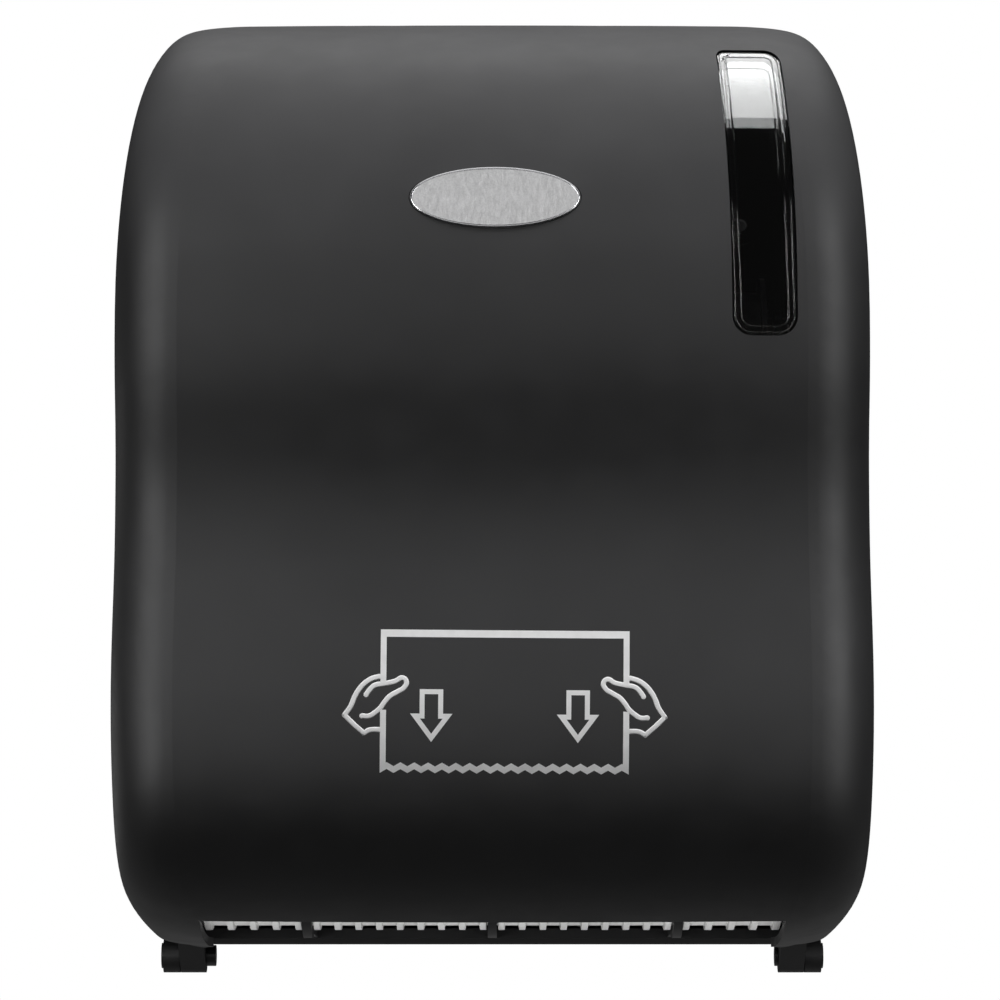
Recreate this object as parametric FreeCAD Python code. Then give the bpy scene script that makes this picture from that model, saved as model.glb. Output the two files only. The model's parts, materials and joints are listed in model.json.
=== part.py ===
import FreeCAD, Part

import math
import os

# Wall-mounted roll towel dispenser with a pull-driven drum that cuts each sheet by itself.
# Frame in millimetres: X to the right as seen from the room, Y towards the wall, Z up.
# The origin is the middle of the four wall screw holes, on the plane of the wall.
# Places are given as a depth in front of the wall, so a depth d lies at y = -d.

V = FreeCAD.Vector
ACROSS = V(1, 0, 0)
LEFTWARDS = V(-1, 0, 0)
TO_WALL = V(0, 1, 0)
TO_ROOM = V(0, -1, 0)
UP = V(0, 0, 1)

# Clearances
overrun = 5.0            # how far a cutting body runs past what it cuts
loose_gap = 0.4          # between neighbours that only pass each other
seat_gap = 0.1           # between pieces clipped or screwed together
running_gap = 0.05       # radial, shaft in its bearing
screw_gap = 0.2          # radial, screw through its clearance hole
thread_gap = 0.03        # radial, screw in its pilot

# Cover
cover_width = 298.0
cover_height = 356.5
cover_depth = 224.0
cover_bottom = -173.0
cover_wall = 3.0
cover_rim = 14.0         # the cover starts this far in front of the wall
cover_corner = 24.0      # largest radius between front and side
corner_share = 0.3       # of the depth, where the cover is shallow
side_draft_share = 0.0647
front_bow_share = 0.03
corner_pull_share = 0.5523   # of a corner's radius, which makes its curve round
half_share = 0.5
# Height up the cover, half width and depth, each as a share of the cover's own
cover_section_shares = [
    (0.000, 0.819, 0.379), (0.011, 0.859, 0.500), (0.028, 0.899, 0.652), (0.053, 0.936, 0.768),
    (0.084, 0.970, 0.848), (0.126, 0.988, 0.911), (0.182, 0.996, 0.955), (0.247, 1.000, 0.969),
    (0.331, 0.999, 0.960), (0.415, 0.993, 0.942), (0.485, 0.990, 0.942), (0.525, 0.989, 0.953),
    (0.564, 0.989, 0.970), (0.604, 0.990, 0.986), (0.650, 0.990, 0.996), (0.701, 0.988, 1.000),
    (0.766, 0.979, 0.993), (0.827, 0.963, 0.955),
    (0.878, 0.941, 0.897), (0.917, 0.914, 0.830), (0.948, 0.880, 0.746), (0.971, 0.842, 0.647),
    (0.985, 0.802, 0.540), (0.993, 0.755, 0.420), (0.997, 0.672, 0.295), (1.000, 0.470, 0.152),
]

# Towel exit in the cover's underside
exit_half_width = 107.0
exit_lip_rise = 19.5     # of the front lip, above the cover's bottom
exit_flare_depth = 70.0  # behind this depth the exit is as wide as the gap between the hinge arms
exit_flare_length = 16.0

# Window in the cover's front, right of the middle
window_left_low = 84.7
window_left_high = 81.3
window_width = 23.3
window_low = 58.0
window_high = 164.4
window_bow = 0.55
window_corner_low = 7.0
window_corner_left = 3.0
window_corner_right = 6.0
window_gap = 0.6
window_rim = 2.3         # lowered border of the strip
window_rim_step = 0.5
window_flange = 4.0
window_flange_wall = 1.6

# Oval badge plate, bare
badge_half_length = 30.0
badge_half_height = 11.3
badge_centre_x = 1.0
badge_centre_height = 106.8
badge_thickness = 1.7
badge_recess = 1.4
badge_gap = 0.5
badge_edge = 0.5

# Hinge between chassis and cover
hinge_depth = 30.0
hinge_below_cover = 8.0
knuckle_radius = 6.7
arm_inner = 113.5
arm_thickness = 10.0
arm_root_back = 17.5
arm_root_front = 50.0
arm_root_radius = 1.5
lug_gap = 0.3
lug_thickness = 6.6
lug_rise = 32.0
pin_radius = 3.0
pin_head_radius = 5.0
pin_head = 1.4
pin_recess = 0.6
snap_radius = 4.15
snap_length = 3.8
short_snap_length = 1.4
snap_slot = 1.2

# Back plate of the chassis
back_thickness = 3.0
back_gap = 0.4           # between the back plate's rim and the cover's rim
tongue_gap = 0.5
tongue_wall = 2.0
tongue_reach = 6.0
tongue_bottom = 23.0     # above the cover's bottom
hole_spacing_x = 200.0
hole_spacing_z = 230.0
wall_hole_radius = 2.75
wall_pad_radius = 9.0
wall_pad_rise = 2.0
seat_depth = 7.0         # screwed-on pieces sit this far in front of the wall
rib_height = 4.5
rib_thickness = 1.6
rib_spacing = 46.0
rib_half_width = 92.0
rib_low = -44.0
rib_pitch = 50.0
rib_rows = 4

# Drum that feeds, holds and cuts the towel
drum_depth = 95.0
drum_above_bottom = 48.0
rib_ring_radius = 39.0
core_radius = 37.3
core_wall = 3.0
drum_half_length = 110.0
groove_half = 3.5        # from a guide groove's middle to the next rib
groove_place = 70.0
ring_base = 3.0
ring_tip = 2.3
end_ring_inset = 2.3
inner_rings = 9
outer_rings = 5
slot_leading = 27.0      # degrees of the drum's turn, either side of the knife's radial line
slot_trailing = 5.0
shell_seam_gap = 0.1
slot_turn = 85.0         # degrees above the front at which the knife's slot rests
cap_flange = 1.4
cap_spigot = 5.0
cap_dish_radius = 25.0
cap_dish_floor = 2.6
cap_boss_radius = 9.0
drum_boss_radius = 3.6
drum_boss_place = 31.0
drum_boss_length = 12.0
drum_boss_turn = 92.0
drum_boss_floor = 3.0
small_screw_radius = 1.5
small_head_radius = 2.8
small_head = 1.2
small_screw_length = 14.0

# Shaft and its ends
shaft_radius = 4.0
shaft_flat = 0.8
bush_wall = 2.0
bush_flange = 1.0
bush_flange_radius = 8.5

# Knife inside the drum, from the drum's axis: along the slot's radial line and across it
knife_pivot_out = 24.0
knife_pivot_across = -14.0
blade_tip_out = 36.4
blade_tip_across = 0.0
follower_out = 15.0
follower_across = -3.0
knife_shaft_radius = 2.5
knife_hub_radius = 4.0
carrier_reach = 8.0
carrier_tip_radius = 1.3
carrier_end_gap = 1.2
blade_thickness = 0.8
blade_overlap = 4.2
blade_end_gap = 3.0
blade_teeth = 40
blade_tooth = 1.6
blade_screws = 5
blade_screw_radius = 1.2
blade_screw_head = 2.0
blade_screw_head_height = 0.9
lever_thickness = 1.6
lever_hub_radius = 4.5
lever_eye_radius = 3.2
roller_radius = 4.0
roller_width = 2.9
roller_pin_radius = 1.5
knife_swing = 35.0
knife_spring_wire = 0.8
knife_spring_length = 8.0
knife_spring_reach = 7.0     # of the leg along the blade

# Side frames
frame_thickness = 3.0
right_frame_place = 112.4
left_frame_place = 117.0
frame_drum_radius = 30.0
frame_foot_radius = 10.0
frame_foot_low = 31.0    # above the cover's bottom
frame_foot_high = 121.0
frame_flange = 14.0
frame_window_inset = 9.0
frame_screw_radius = 2.0
frame_screw_head = 3.8
frame_screw_head_height = 2.4
frame_screw_bite = 6.0
frame_screw_inset = 10.0
pad_radius = 5.5

# Cam ring that steers the knife
cam_outer_radius = 33.0
cam_gap = 0.3
cam_depth = 3.2
cam_lobe_start = -18.0
cam_lobe_end = 98.0
cam_ramp = 22.0
cam_screw_count = 3
cam_screw_place = 27.5
cam_screw_spread = 50.0
cam_screw_head_height = 0.8

# Feed wheel and crank
wheel_radius = 22.0
wheel_width = 10.0
wheel_place = 117.0
wheel_scallops = 20
wheel_scallop_radius = 2.2
wheel_dish = 4.0
wheel_dish_radius = 17.5
wheel_hub_radius = 8.0
clip_radius = 6.5
clip_thickness = 0.8
crank_radius = 20.0
crank_thickness = 2.5
crank_gap = 1.4
crank_throw = 16.0
crank_pin_radius = 2.2
crank_pin_head_radius = 3.4
crank_pin_head = 0.9

# Assist spring beside the left frame
spring_radius = 2.2
spring_eye_radius = 3.3
spring_eye_thickness = 1.2
anchor_depth = 44.0
anchor_above_drum = 57.0
anchor_radius = 2.6
spring_cover_wall = 1.3
spring_cover_gap = 1.5
spring_cover_tab_radius = 3.2
spring_cover_tab_place = 26.3    # from the drum's axis
spring_cover_tab_spread = 60.0   # degrees either side of the front
lid_screw_length = 4.3

# Press roller that holds the towel on the drum
press_angle = 135.0
sleeve_radius = 9.0
press_gap = 0.3
press_shaft_radius = 3.0
press_arm_length = 35.0
bail_pivot_radius = 2.5
bail_tube_radius = 5.0
bail_arm_place = 107.0
bail_arm_thickness = 3.5
bail_eye_radius = 6.0
bail_pin_grip = 8.0
bail_spring_wire = 0.9
bail_spring_length = 10.0
bail_spring_rise = 35.0  # degrees of the leg that leans on the wall side
sleeve_places = [(4.0, 66.0), (74.0, 104.0)]

# Exit guide under the drum
guide_half_width = 112.5
guide_floor = 2.6
guide_front = 57.0
guide_nose_rise = 6.5
guide_nose_wall = 3.0
guide_below_cover = 1.0
guide_back_rise = 24.0
finger_width = 3.4
finger_gap = 0.5
finger_outer = 42.0
finger_back = -108.0
finger_front = -28.0
finger_root_depth = 84.0
guide_screw_place = 85.0

# Roll holder
roll_radius = 100.0
roll_half_width = 100.0
roll_depth = 112.0
roll_above_drum = 185.0
hub_plug_radius = 18.5
hub_plug_length = 12.0
hub_plug_wall = 3.0
hub_plug_lead = 2.0
hub_flange_radius = 24.0
hub_flange = 2.0
hub_axle_radius = 4.0
hub_side_gap = 0.5
holder_place = 105.5
holder_thickness = 3.5
holder_pocket = 1.8
holder_border = 3.0
holder_root_radius = 14.0
holder_root_depth = 24.0
holder_tip_radius = 12.0
holder_boss_radius = 9.0
holder_pin_depth = 18.0
holder_pin_radius = 2.0
holder_knuckle_radius = 5.0
holder_knuckle_height = 32.0
ear_height = 4.0
leaf_thickness = 0.6
leaf_height = 12.0
leaf_foot_place = 124.0
leaf_foot_length = 9.0
leaf_touch_depth = 58.0
leaf_bow = 3.0

# Key lock in the cover's top
lock_depth = 60.0
lock_flange_radius = 10.5
lock_flange = 1.4
lock_radius = 8.0
lock_face_drop = 2.1     # of the lock's seat, below the cover's top
lock_boss_radius = 13.0
lock_boss_depth = 3.4
lock_length = 15.0
lock_nut_height = 4.0
lock_nut_flats = 22.0
lock_plug_radius = 5.5
key_slot_length = 6.5
key_slot_width = 1.4
key_slot_depth = 6.0
cam_arm_length = 16.0
cam_arm_root_radius = 6.0
cam_arm_tip_radius = 4.0
cam_arm_thickness = 2.0
lock_screw_radius = 2.0
lock_screw_head_radius = 3.8
lock_screw_head = 2.4

# Strike that the lock's cam hooks behind
strike_wall = 2.0
strike_near = 10.5
strike_far = 21.0
strike_hook_depth = 67.5
strike_arm_drop = 3.4    # below the cam
strike_foot_drop = 16.0
strike_screw_drop = 9.0

# Derived places
cover_top = cover_bottom + cover_height
half_width = cover_width / 2
hinge_height = cover_bottom - hinge_below_cover
drum_height = cover_bottom + drum_above_bottom
roll_height = drum_height + roll_above_drum
arm_outer = arm_inner + arm_thickness
lug_inner = arm_outer + lug_gap
lug_outer = lug_inner + lug_thickness
back_rim = cover_rim - back_gap
exit_lip = cover_bottom + exit_lip_rise
cap_face = drum_half_length + cap_flange
left_frame_outer = left_frame_place + frame_thickness
right_frame_outer = right_frame_place + frame_thickness
crank_inner = left_frame_outer + crank_gap
crank_outer = crank_inner + crank_thickness
anchor_height = drum_height + anchor_above_drum
spring_plane = crank_outer + crank_pin_head + spring_radius + loose_gap
spring_cover_inner = spring_plane + spring_radius + crank_pin_head + loose_gap
press_reach = rib_ring_radius + press_gap + sleeve_radius
bail_pin_reach = bail_arm_place - bail_pin_grip
holder_pin_place = holder_place + holder_thickness
lock_seat = cover_top - lock_face_drop
lock_bottom = lock_seat + lock_flange - lock_length
cam_top = lock_bottom - loose_gap
cam_bottom = cam_top - cam_arm_thickness


def at(x, depth, height):
    """Point at a place across, a depth in front of the wall and a height."""
    return V(x, -depth, height)


def turned(distance, degrees):
    """Step of a given length in the side view, from the room side upwards."""
    turn = math.radians(degrees)
    return distance * math.cos(turn), distance * math.sin(turn)


def block(x0, x1, depth0, depth1, z0, z1):
    return Part.makeBox(x1 - x0, depth1 - depth0, z1 - z0, at(x0, depth1, z0))


def rod(x0, x1, radius, depth, height):
    """Round bar across the dispenser."""
    return Part.makeCylinder(radius, x1 - x0, at(x0, depth, height), ACROSS)


def stud(x, height, depth0, depth1, radius):
    """Round bar from one depth to another."""
    return Part.makeCylinder(radius, depth1 - depth0, at(x, depth0, height), TO_ROOM)


def post(x, depth, z0, z1, radius):
    """Upright round bar."""
    return Part.makeCylinder(radius, z1 - z0, at(x, depth, z0), UP)


def fused(first, *others):
    return first.multiFuse(list(others)).removeSplitter()


def mirrored(shape):
    return shape.mirror(V(0, 0, 0), ACROSS)


def both_sides(shape):
    """A piece and its mirror image, as one group."""
    return Part.makeCompound([shape, mirrored(shape)])


def polygon(points):
    return Part.Face(Part.makePolygon(points + points[:1]))


def side_prism(points, x0, x1):
    """Solid from an outline of (depth, height) points, drawn out across."""
    return polygon([at(x0, depth, height) for depth, height in points]).extrude(V(x1 - x0, 0, 0))


def plan_prism(points, z0, z1):
    """Solid from an outline of (x, depth) points, drawn upwards."""
    return polygon([at(x, depth, z0) for x, depth in points]).extrude(V(0, 0, z1 - z0))


def belt_edges(circles, place):
    """Edges of a belt pulled round circles (p, q, radius), given anticlockwise, in a plane."""
    count = len(circles)
    normals = []
    for i in range(count):
        p0, q0, r0 = circles[i]
        p1, q1, r1 = circles[(i + 1) % count]
        length = math.hypot(p1 - p0, q1 - q0)
        along = (r0 - r1) / length
        side = math.sqrt(1 - along * along)
        dp, dq = (p1 - p0) / length, (q1 - q0) / length
        normals.append((dp * along + dq * side, dq * along - dp * side))
    edges = []
    for i in range(count):
        p, q, r = circles[i]
        before, after = normals[i - 1], normals[i]
        start = math.atan2(before[1], before[0])
        end = math.atan2(after[1], after[0])
        while end < start:
            end += 2 * math.pi
        middle = (start + end) / 2
        first, half, last = [place(p + r * math.cos(a), q + r * math.sin(a)) for a in (start, middle, end)]
        edges.append(Part.Arc(first, half, last).toShape())
        p1, q1, r1 = circles[(i + 1) % count]
        nxt = place(p1 + r1 * after[0], q1 + r1 * after[1])
        edges.append(Part.LineSegment(last, nxt).toShape())
    return edges


def side_belt(circles, x0, x1):
    """Plate seen from the side, with an outline pulled round (depth, height, radius) circles."""
    edges = belt_edges(circles, lambda p, q: at(x0, p, q))
    return Part.Face(Part.Wire(edges)).extrude(V(x1 - x0, 0, 0))


def plan_belt(circles, z0, z1):
    """Plate seen from above, with an outline pulled round (x, depth, radius) circles."""
    edges = belt_edges(circles, lambda p, q: at(p, q, z0))
    return Part.Face(Part.Wire(edges)).extrude(V(0, 0, z1 - z0))


def torsion_coil(x0, x1, core, wire, depth, height):
    """Turns of a torsion spring round a core, as one closed sleeve."""
    slack = seat_gap / 2
    coil = rod(x0, x1, core + seat_gap + wire + slack, depth, height)
    return coil.cut(rod(x0 - overrun, x1 + overrun, core + seat_gap - slack, depth, height))


def spring_leg(x, wire, start, end):
    """Straight wire in the side view, from one (depth, height) point to another."""
    first, last = at(x, *start), at(x, *end)
    return Part.makeCylinder(wire / 2, (last - first).Length, first, last - first)


def flatted_rod(x0, x1, radius, grow):
    """Drum shaft end with a flat on its upper side, or its hole where it grows."""
    bar = rod(x0, x1, radius + grow, drum_depth, drum_height)
    flat = drum_height + radius - shaft_flat + grow
    top = block(x0, x1, drum_depth - 2 * radius, drum_depth + 2 * radius, flat, flat + 2 * radius)
    return bar.cut(top)


# Cover and what it carries

def bezier(points):
    curve = Part.BezierCurve()
    curve.setPoles(points)
    return curve.toShape()


def cover_section(height, width, depth, start):
    """Closed outline of the cover at one height: back line, two sides, two corners, bowed front."""
    radius = min(cover_corner, corner_share * depth)
    bow = front_bow_share * depth
    front = depth - bow
    rear_x = width + (cover_rim - start) * side_draft_share
    side_x = width - (depth - radius - cover_rim) * side_draft_share
    reach = radius * corner_pull_share
    bow_slope = 2 * bow / (side_x - radius)
    rear = at(rear_x, start, height)
    side = at(side_x, front - radius, height)
    side_pull = at(side_x - reach * side_draft_share, front - radius + reach, height)
    shoulder_pull = at(side_x - radius + reach, front - reach * bow_slope, height)
    shoulder = at(side_x - radius, front, height)
    nose_pull = at(0, depth + bow, height)

    def left(point):
        return V(-point.x, point.y, point.z)

    edges = [
        Part.LineSegment(rear, side).toShape(),
        bezier([side, side_pull, shoulder_pull, shoulder]),
        bezier([shoulder, nose_pull, left(shoulder)]),
        bezier([left(shoulder), left(shoulder_pull), left(side_pull), left(side)]),
        Part.LineSegment(left(side), left(rear)).toShape(),
        Part.LineSegment(left(rear), rear).toShape(),
    ]
    return Part.Wire(edges)


def cover_body(inset, start):
    """Closed body inside the cover's outer skin by the inset, cut flat at a depth from the wall."""
    wires = []
    for height_share, width_share, depth_share in cover_section_shares:
        height = cover_bottom + inset + height_share * (cover_height - 2 * inset)
        width = width_share * half_width - inset
        depth = depth_share * cover_depth - inset
        wires.append(cover_section(height, width, depth, start - overrun))
    body = Part.makeLoft(wires, True, False)
    return body.common(block(-cover_width, cover_width, start, 2 * cover_depth, 2 * cover_bottom, 2 * cover_top))


def front_depth(body, x, height):
    """Depth of a body's front where a line across it meets its skin."""
    probe = Part.makeLine(at(x, 0, height), at(x, 2 * cover_depth, height))
    return -body.common(probe).BoundBox.YMin


def window_prism(grow):
    """The window's outline grown on every side, drawn out through the cover."""
    left_low = at(window_left_low - grow, 0, window_low)
    left_high = at(window_left_high - grow, 0, window_high)
    bow = V(window_bow, 0, 0)
    across = V(window_width + 2 * grow, 0, 0)
    low_left, high_left = left_low - V(0, 0, grow), left_high + V(0, 0, grow)
    left_middle = (low_left + high_left) * half_share + bow
    edges = [
        Part.LineSegment(low_left, low_left + across).toShape(),
        Part.Arc(low_left + across, left_middle + across, high_left + across).toShape(),
        Part.LineSegment(high_left + across, high_left).toShape(),
        Part.Arc(high_left, left_middle, low_left).toShape(),
    ]
    prism = Part.Face(Part.Wire(edges)).extrude(V(0, -2 * cover_depth, 0))

    def corner_edges(body, left_side, high_side):
        found = []
        middle_x = window_left_low + window_width / 2
        middle_z = (window_low + window_high) / 2
        for edge in body.Edges:
            box = edge.BoundBox
            if box.YLength < cover_depth:
                continue
            if (box.Center.x < middle_x) == left_side and (box.Center.z > middle_z) == high_side:
                found.append(edge)
        return found

    for left_side in (True, False):
        prism = prism.makeFillet(window_corner_low + grow, corner_edges(prism, left_side, False))
    prism = prism.makeFillet(window_corner_left + grow, corner_edges(prism, True, True))
    return prism.makeFillet(window_corner_right + grow, corner_edges(prism, False, True))


def badge_plane():
    """Middle of the badge on the cover's skin, and the direction that it faces."""
    skin = cover_body(0, cover_rim)
    low = badge_centre_height - badge_half_height
    high = badge_centre_height + badge_half_height
    slope = (front_depth(skin, 0, low) - front_depth(skin, 0, high)) / (high - low)
    facing = V(0, -1, slope)
    facing.normalize()
    depth = front_depth(skin, badge_centre_x, badge_centre_height)
    return at(badge_centre_x, depth, badge_centre_height), facing


def badge_prism(grow, low, high):
    """Oval body on the badge's plane, from one height over the skin to another."""
    centre, facing = badge_plane()
    oval = Part.Ellipse(V(0, 0, 0), badge_half_length + grow, badge_half_height + grow).toShape()
    oval.Placement = FreeCAD.Placement(centre + facing * low, FreeCAD.Rotation(UP, facing))
    return Part.Face(Part.Wire(oval)).extrude(facing * (high - low))


def exit_cut():
    """Body that opens the cover's underside for the towel, wider between the hinge arms."""
    flare = exit_flare_depth + exit_flare_length
    far = 2 * cover_depth
    points = [
        (-arm_inner, cover_rim - overrun), (-arm_inner, exit_flare_depth), (-exit_half_width, flare),
        (-exit_half_width, far), (exit_half_width, far), (exit_half_width, flare),
        (arm_inner, exit_flare_depth), (arm_inner, cover_rim - overrun),
    ]
    return plan_prism(points, cover_bottom - overrun, exit_lip)


def hinge_arm():
    """Right arm that hangs the cover on its hinge pin."""
    root = cover_bottom + arm_root_radius
    circles = [
        (hinge_depth, hinge_height, knuckle_radius),
        (arm_root_front, root, arm_root_radius),
        (arm_root_back + arm_root_radius, root, arm_root_radius),
    ]
    arm = side_belt(circles, arm_inner, arm_outer)
    return arm.cut(rod(arm_inner - overrun, arm_outer + overrun, pin_radius + running_gap,
                       hinge_depth, hinge_height))


def cover_shell():
    hollow = cover_body(cover_wall, cover_rim - overrun)
    shell = cover_body(0, cover_rim).cut(hollow)
    boss = post(0, lock_depth, lock_seat - lock_boss_depth, lock_seat + cover_wall / 2, lock_boss_radius)
    boss = boss.common(cover_body(cover_wall / 2, cover_rim))
    shell = fused(shell.cut(exit_cut()), boss, hinge_arm(), mirrored(hinge_arm()))
    shell = shell.cut(window_prism(0))
    shell = shell.cut(badge_prism(badge_gap, -badge_recess, overrun))
    shell = shell.cut(post(0, lock_depth, lock_seat, cover_top + overrun, lock_flange_radius + loose_gap))
    return shell.cut(post(0, lock_depth, lock_seat - overrun, cover_top, lock_radius + screw_gap))


def window():
    """Clear strip with a lowered border, which holds by a flange behind the shell."""
    inside = cover_body(cover_wall + seat_gap, cover_rim - overrun)
    strip = cover_body(window_rim_step, cover_rim).cut(inside).common(window_prism(-window_gap))
    strip = strip.fuse(cover_body(0, cover_rim).cut(inside).common(window_prism(-window_gap - window_rim)))
    behind = cover_body(cover_wall + seat_gap + window_flange_wall, cover_rim - overrun)
    flange = inside.cut(behind).common(window_prism(window_flange))
    return fused(strip, flange)


def badge():
    plate = badge_prism(0, seat_gap - badge_recess, badge_thickness + seat_gap - badge_recess)
    rim = [edge for edge in plate.Edges if edge.CenterOfMass.y < plate.CenterOfMass.y - badge_thickness / 4
           and edge.Length > badge_half_length]
    return plate.makeChamfer(badge_edge, rim)


def hinge_pin(side):
    """Right or left pin: head sunk in the chassis lug, snap end inside the cover's arm."""
    body = rod(arm_inner - snap_length, lug_outer - pin_recess, pin_radius, hinge_depth, hinge_height)
    head = rod(lug_outer - pin_recess, lug_outer - pin_recess + pin_head, pin_head_radius,
               hinge_depth, hinge_height)
    snap = rod(arm_inner - snap_length, arm_inner - seat_gap, snap_radius, hinge_depth, hinge_height)
    if side > 0:
        # the right pin's end is shorter
        snap = rod(arm_inner - short_snap_length, arm_inner - seat_gap, snap_radius, hinge_depth, hinge_height)
        body = rod(arm_inner - short_snap_length, lug_outer - pin_recess, pin_radius, hinge_depth, hinge_height)
    slot = block(arm_inner - snap_length - overrun, arm_inner + snap_length,
                 hinge_depth - snap_slot / 2, hinge_depth + snap_slot / 2,
                 hinge_height - 2 * snap_radius, hinge_height + 2 * snap_radius)
    pin = fused(body, head, snap).cut(slot)
    return pin if side > 0 else mirrored(pin)


def lock_barrel():
    flange = post(0, lock_depth, lock_seat, lock_seat + lock_flange, lock_flange_radius)
    body = post(0, lock_depth, lock_bottom, lock_seat, lock_radius)
    bore = post(0, lock_depth, lock_bottom - overrun, cover_top + overrun, lock_plug_radius + running_gap)
    return fused(flange, body).cut(bore)


def lock_nut():
    top = lock_seat - lock_boss_depth
    radius = lock_nut_flats / 2 / math.cos(math.pi / 6)
    corners = []
    for i in range(6):
        turn = math.pi / 3 * i
        corners.append((radius * math.cos(turn), lock_depth + radius * math.sin(turn)))
    nut = plan_prism(corners, top - lock_nut_height, top)
    return nut.cut(post(0, lock_depth, top - 2 * lock_nut_height, top + overrun, lock_radius + thread_gap))


def lock_plug():
    plug = post(0, lock_depth, cam_top, lock_seat + lock_flange, lock_plug_radius)
    slot = block(-key_slot_width / 2, key_slot_width / 2,
                 lock_depth - key_slot_length / 2, lock_depth + key_slot_length / 2,
                 lock_seat + lock_flange - key_slot_depth, cover_top + overrun)
    pilot = post(0, lock_depth, cam_top - overrun, cam_top + overrun, lock_screw_radius + thread_gap)
    return plug.cut(slot).cut(pilot)


def lock_cam():
    """Flat arm that points to the wall while unlocked."""
    circles = [(0, lock_depth, cam_arm_root_radius), (0, lock_depth - cam_arm_length, cam_arm_tip_radius)]
    arm = plan_belt(circles, cam_bottom, cam_top)
    return arm.cut(post(0, lock_depth, cam_bottom - overrun, cam_top + overrun, lock_screw_radius + thread_gap))


def lock_screw():
    head = post(0, lock_depth, cam_bottom - lock_screw_head, cam_bottom, lock_screw_head_radius)
    return fused(head, post(0, lock_depth, cam_bottom, cam_top + overrun - loose_gap, lock_screw_radius))


# Chassis

def screw_places():
    """Where the side frames are screwed on: (x, height) for each screw."""
    low = cover_bottom + frame_foot_low
    high = cover_bottom + frame_foot_high
    right = right_frame_outer + frame_flange / 2
    left = -left_frame_outer - frame_flange / 2
    return [(x, z) for x in (left, right) for z in (low, high)]


def guide_screw_places():
    height = cover_bottom + guide_back_rise - frame_screw_inset / 2
    return [(-guide_screw_place, height), (guide_screw_place, height)]


def strike_screw_place():
    return (strike_near + strike_far) / 2, cam_bottom - strike_arm_drop - strike_screw_drop


def hinge_lug():
    """Right lug of the back plate, which carries the hinge pin."""
    bottom = hinge_height - knuckle_radius
    nose = side_belt([(hinge_depth, hinge_height, knuckle_radius),
                      (2 * knuckle_radius, hinge_height, knuckle_radius)], lug_inner, lug_outer)
    root = block(lug_inner, lug_outer, 0, back_rim, bottom, bottom + lug_rise)
    hole = rod(lug_inner - overrun, lug_outer + overrun, pin_radius + seat_gap, hinge_depth, hinge_height)
    sink = rod(lug_outer - pin_recess, lug_outer + overrun, pin_head_radius + seat_gap, hinge_depth, hinge_height)
    return fused(nose, root).cut(hole).cut(sink)


def holder_ears():
    """Right pair of ears with the upright pin of a roll arm."""
    ears = []
    for side in (-1, 1):
        inner = roll_height + side * (holder_knuckle_height / 2 + loose_gap)
        outer = inner + side * ear_height
        low, high = min(inner, outer), max(inner, outer)
        reach = holder_knuckle_radius
        ear = block(holder_pin_place - reach, holder_pin_place + reach,
                    back_thickness - seat_gap, holder_pin_depth, low, high)
        nose = post(holder_pin_place, holder_pin_depth, low, high, reach)
        ears.append(fused(ear, nose))
    hole = post(holder_pin_place, holder_pin_depth, -cover_height, cover_height, holder_pin_radius + seat_gap)
    return [ear.cut(hole) for ear in ears]


def back_ribs():
    """Low ribs that stiffen the back plate behind the roll."""
    ribs = []
    depth = back_thickness + rib_height
    top = rib_low + rib_pitch * (rib_rows - 1)
    for i in range(rib_rows):
        height = rib_low + rib_pitch * i
        ribs.append(block(-rib_half_width, rib_half_width, back_thickness / 2, depth,
                          height - rib_thickness / 2, height + rib_thickness / 2))
    for i in (-2, -1, 0, 1, 2):
        place = rib_spacing * i
        ribs.append(block(place - rib_thickness / 2, place + rib_thickness / 2,
                          back_thickness / 2, depth, rib_low, top))
    return ribs


def back_plate():
    outside = cover_body(0, 0)
    slab = block(-cover_width, cover_width, 0, back_rim, cover_bottom, cover_top)
    plate = outside.common(slab)
    pocket = cover_body(cover_wall, -overrun).common(
        block(-cover_width, cover_width, back_thickness, cover_depth, cover_bottom, cover_top))
    plate = plate.cut(pocket)
    tongue_slab = block(-cover_width, cover_width, back_thickness / 2, back_rim + tongue_reach,
                        cover_bottom + tongue_bottom, cover_top)
    tongue = cover_body(cover_wall + tongue_gap, -overrun).common(tongue_slab)
    tongue = tongue.cut(cover_body(cover_wall + tongue_gap + tongue_wall, -2 * overrun))
    bridge_slab = block(-cover_width, cover_width, back_thickness / 2, back_rim - tongue_wall,
                        cover_bottom + tongue_bottom, cover_top)
    bridge = outside.common(bridge_slab).cut(cover_body(cover_wall + tongue_gap + tongue_wall / 2, -2 * overrun))
    pads = [stud(x, z, back_thickness / 2, back_thickness + wall_pad_rise, wall_pad_radius)
            for x in (-hole_spacing_x / 2, hole_spacing_x / 2)
            for z in (-hole_spacing_z / 2, hole_spacing_z / 2)]
    seats = screw_places() + guide_screw_places() + [strike_screw_place()]
    pads += [stud(x, z, back_thickness / 2, seat_depth, pad_radius) for x, z in seats]
    pieces = [tongue, bridge, hinge_lug(), mirrored(hinge_lug())] + pads + back_ribs()
    for ear in holder_ears():
        pieces += [ear, mirrored(ear)]
    plate = fused(plate, *pieces)
    gap = guide_half_width + loose_gap
    plate = plate.cut(block(-gap, gap, back_thickness, back_rim + overrun,
                            cover_bottom - overrun, cover_bottom + cover_wall + guide_nose_rise))
    for x in (-hole_spacing_x / 2, hole_spacing_x / 2):
        for z in (-hole_spacing_z / 2, hole_spacing_z / 2):
            plate = plate.cut(stud(x, z, -overrun, back_rim, wall_hole_radius))
    for x, z in seats:
        plate = plate.cut(stud(x, z, seat_depth - frame_screw_bite, seat_depth + overrun,
                               frame_screw_radius + thread_gap))
    return plate


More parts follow.
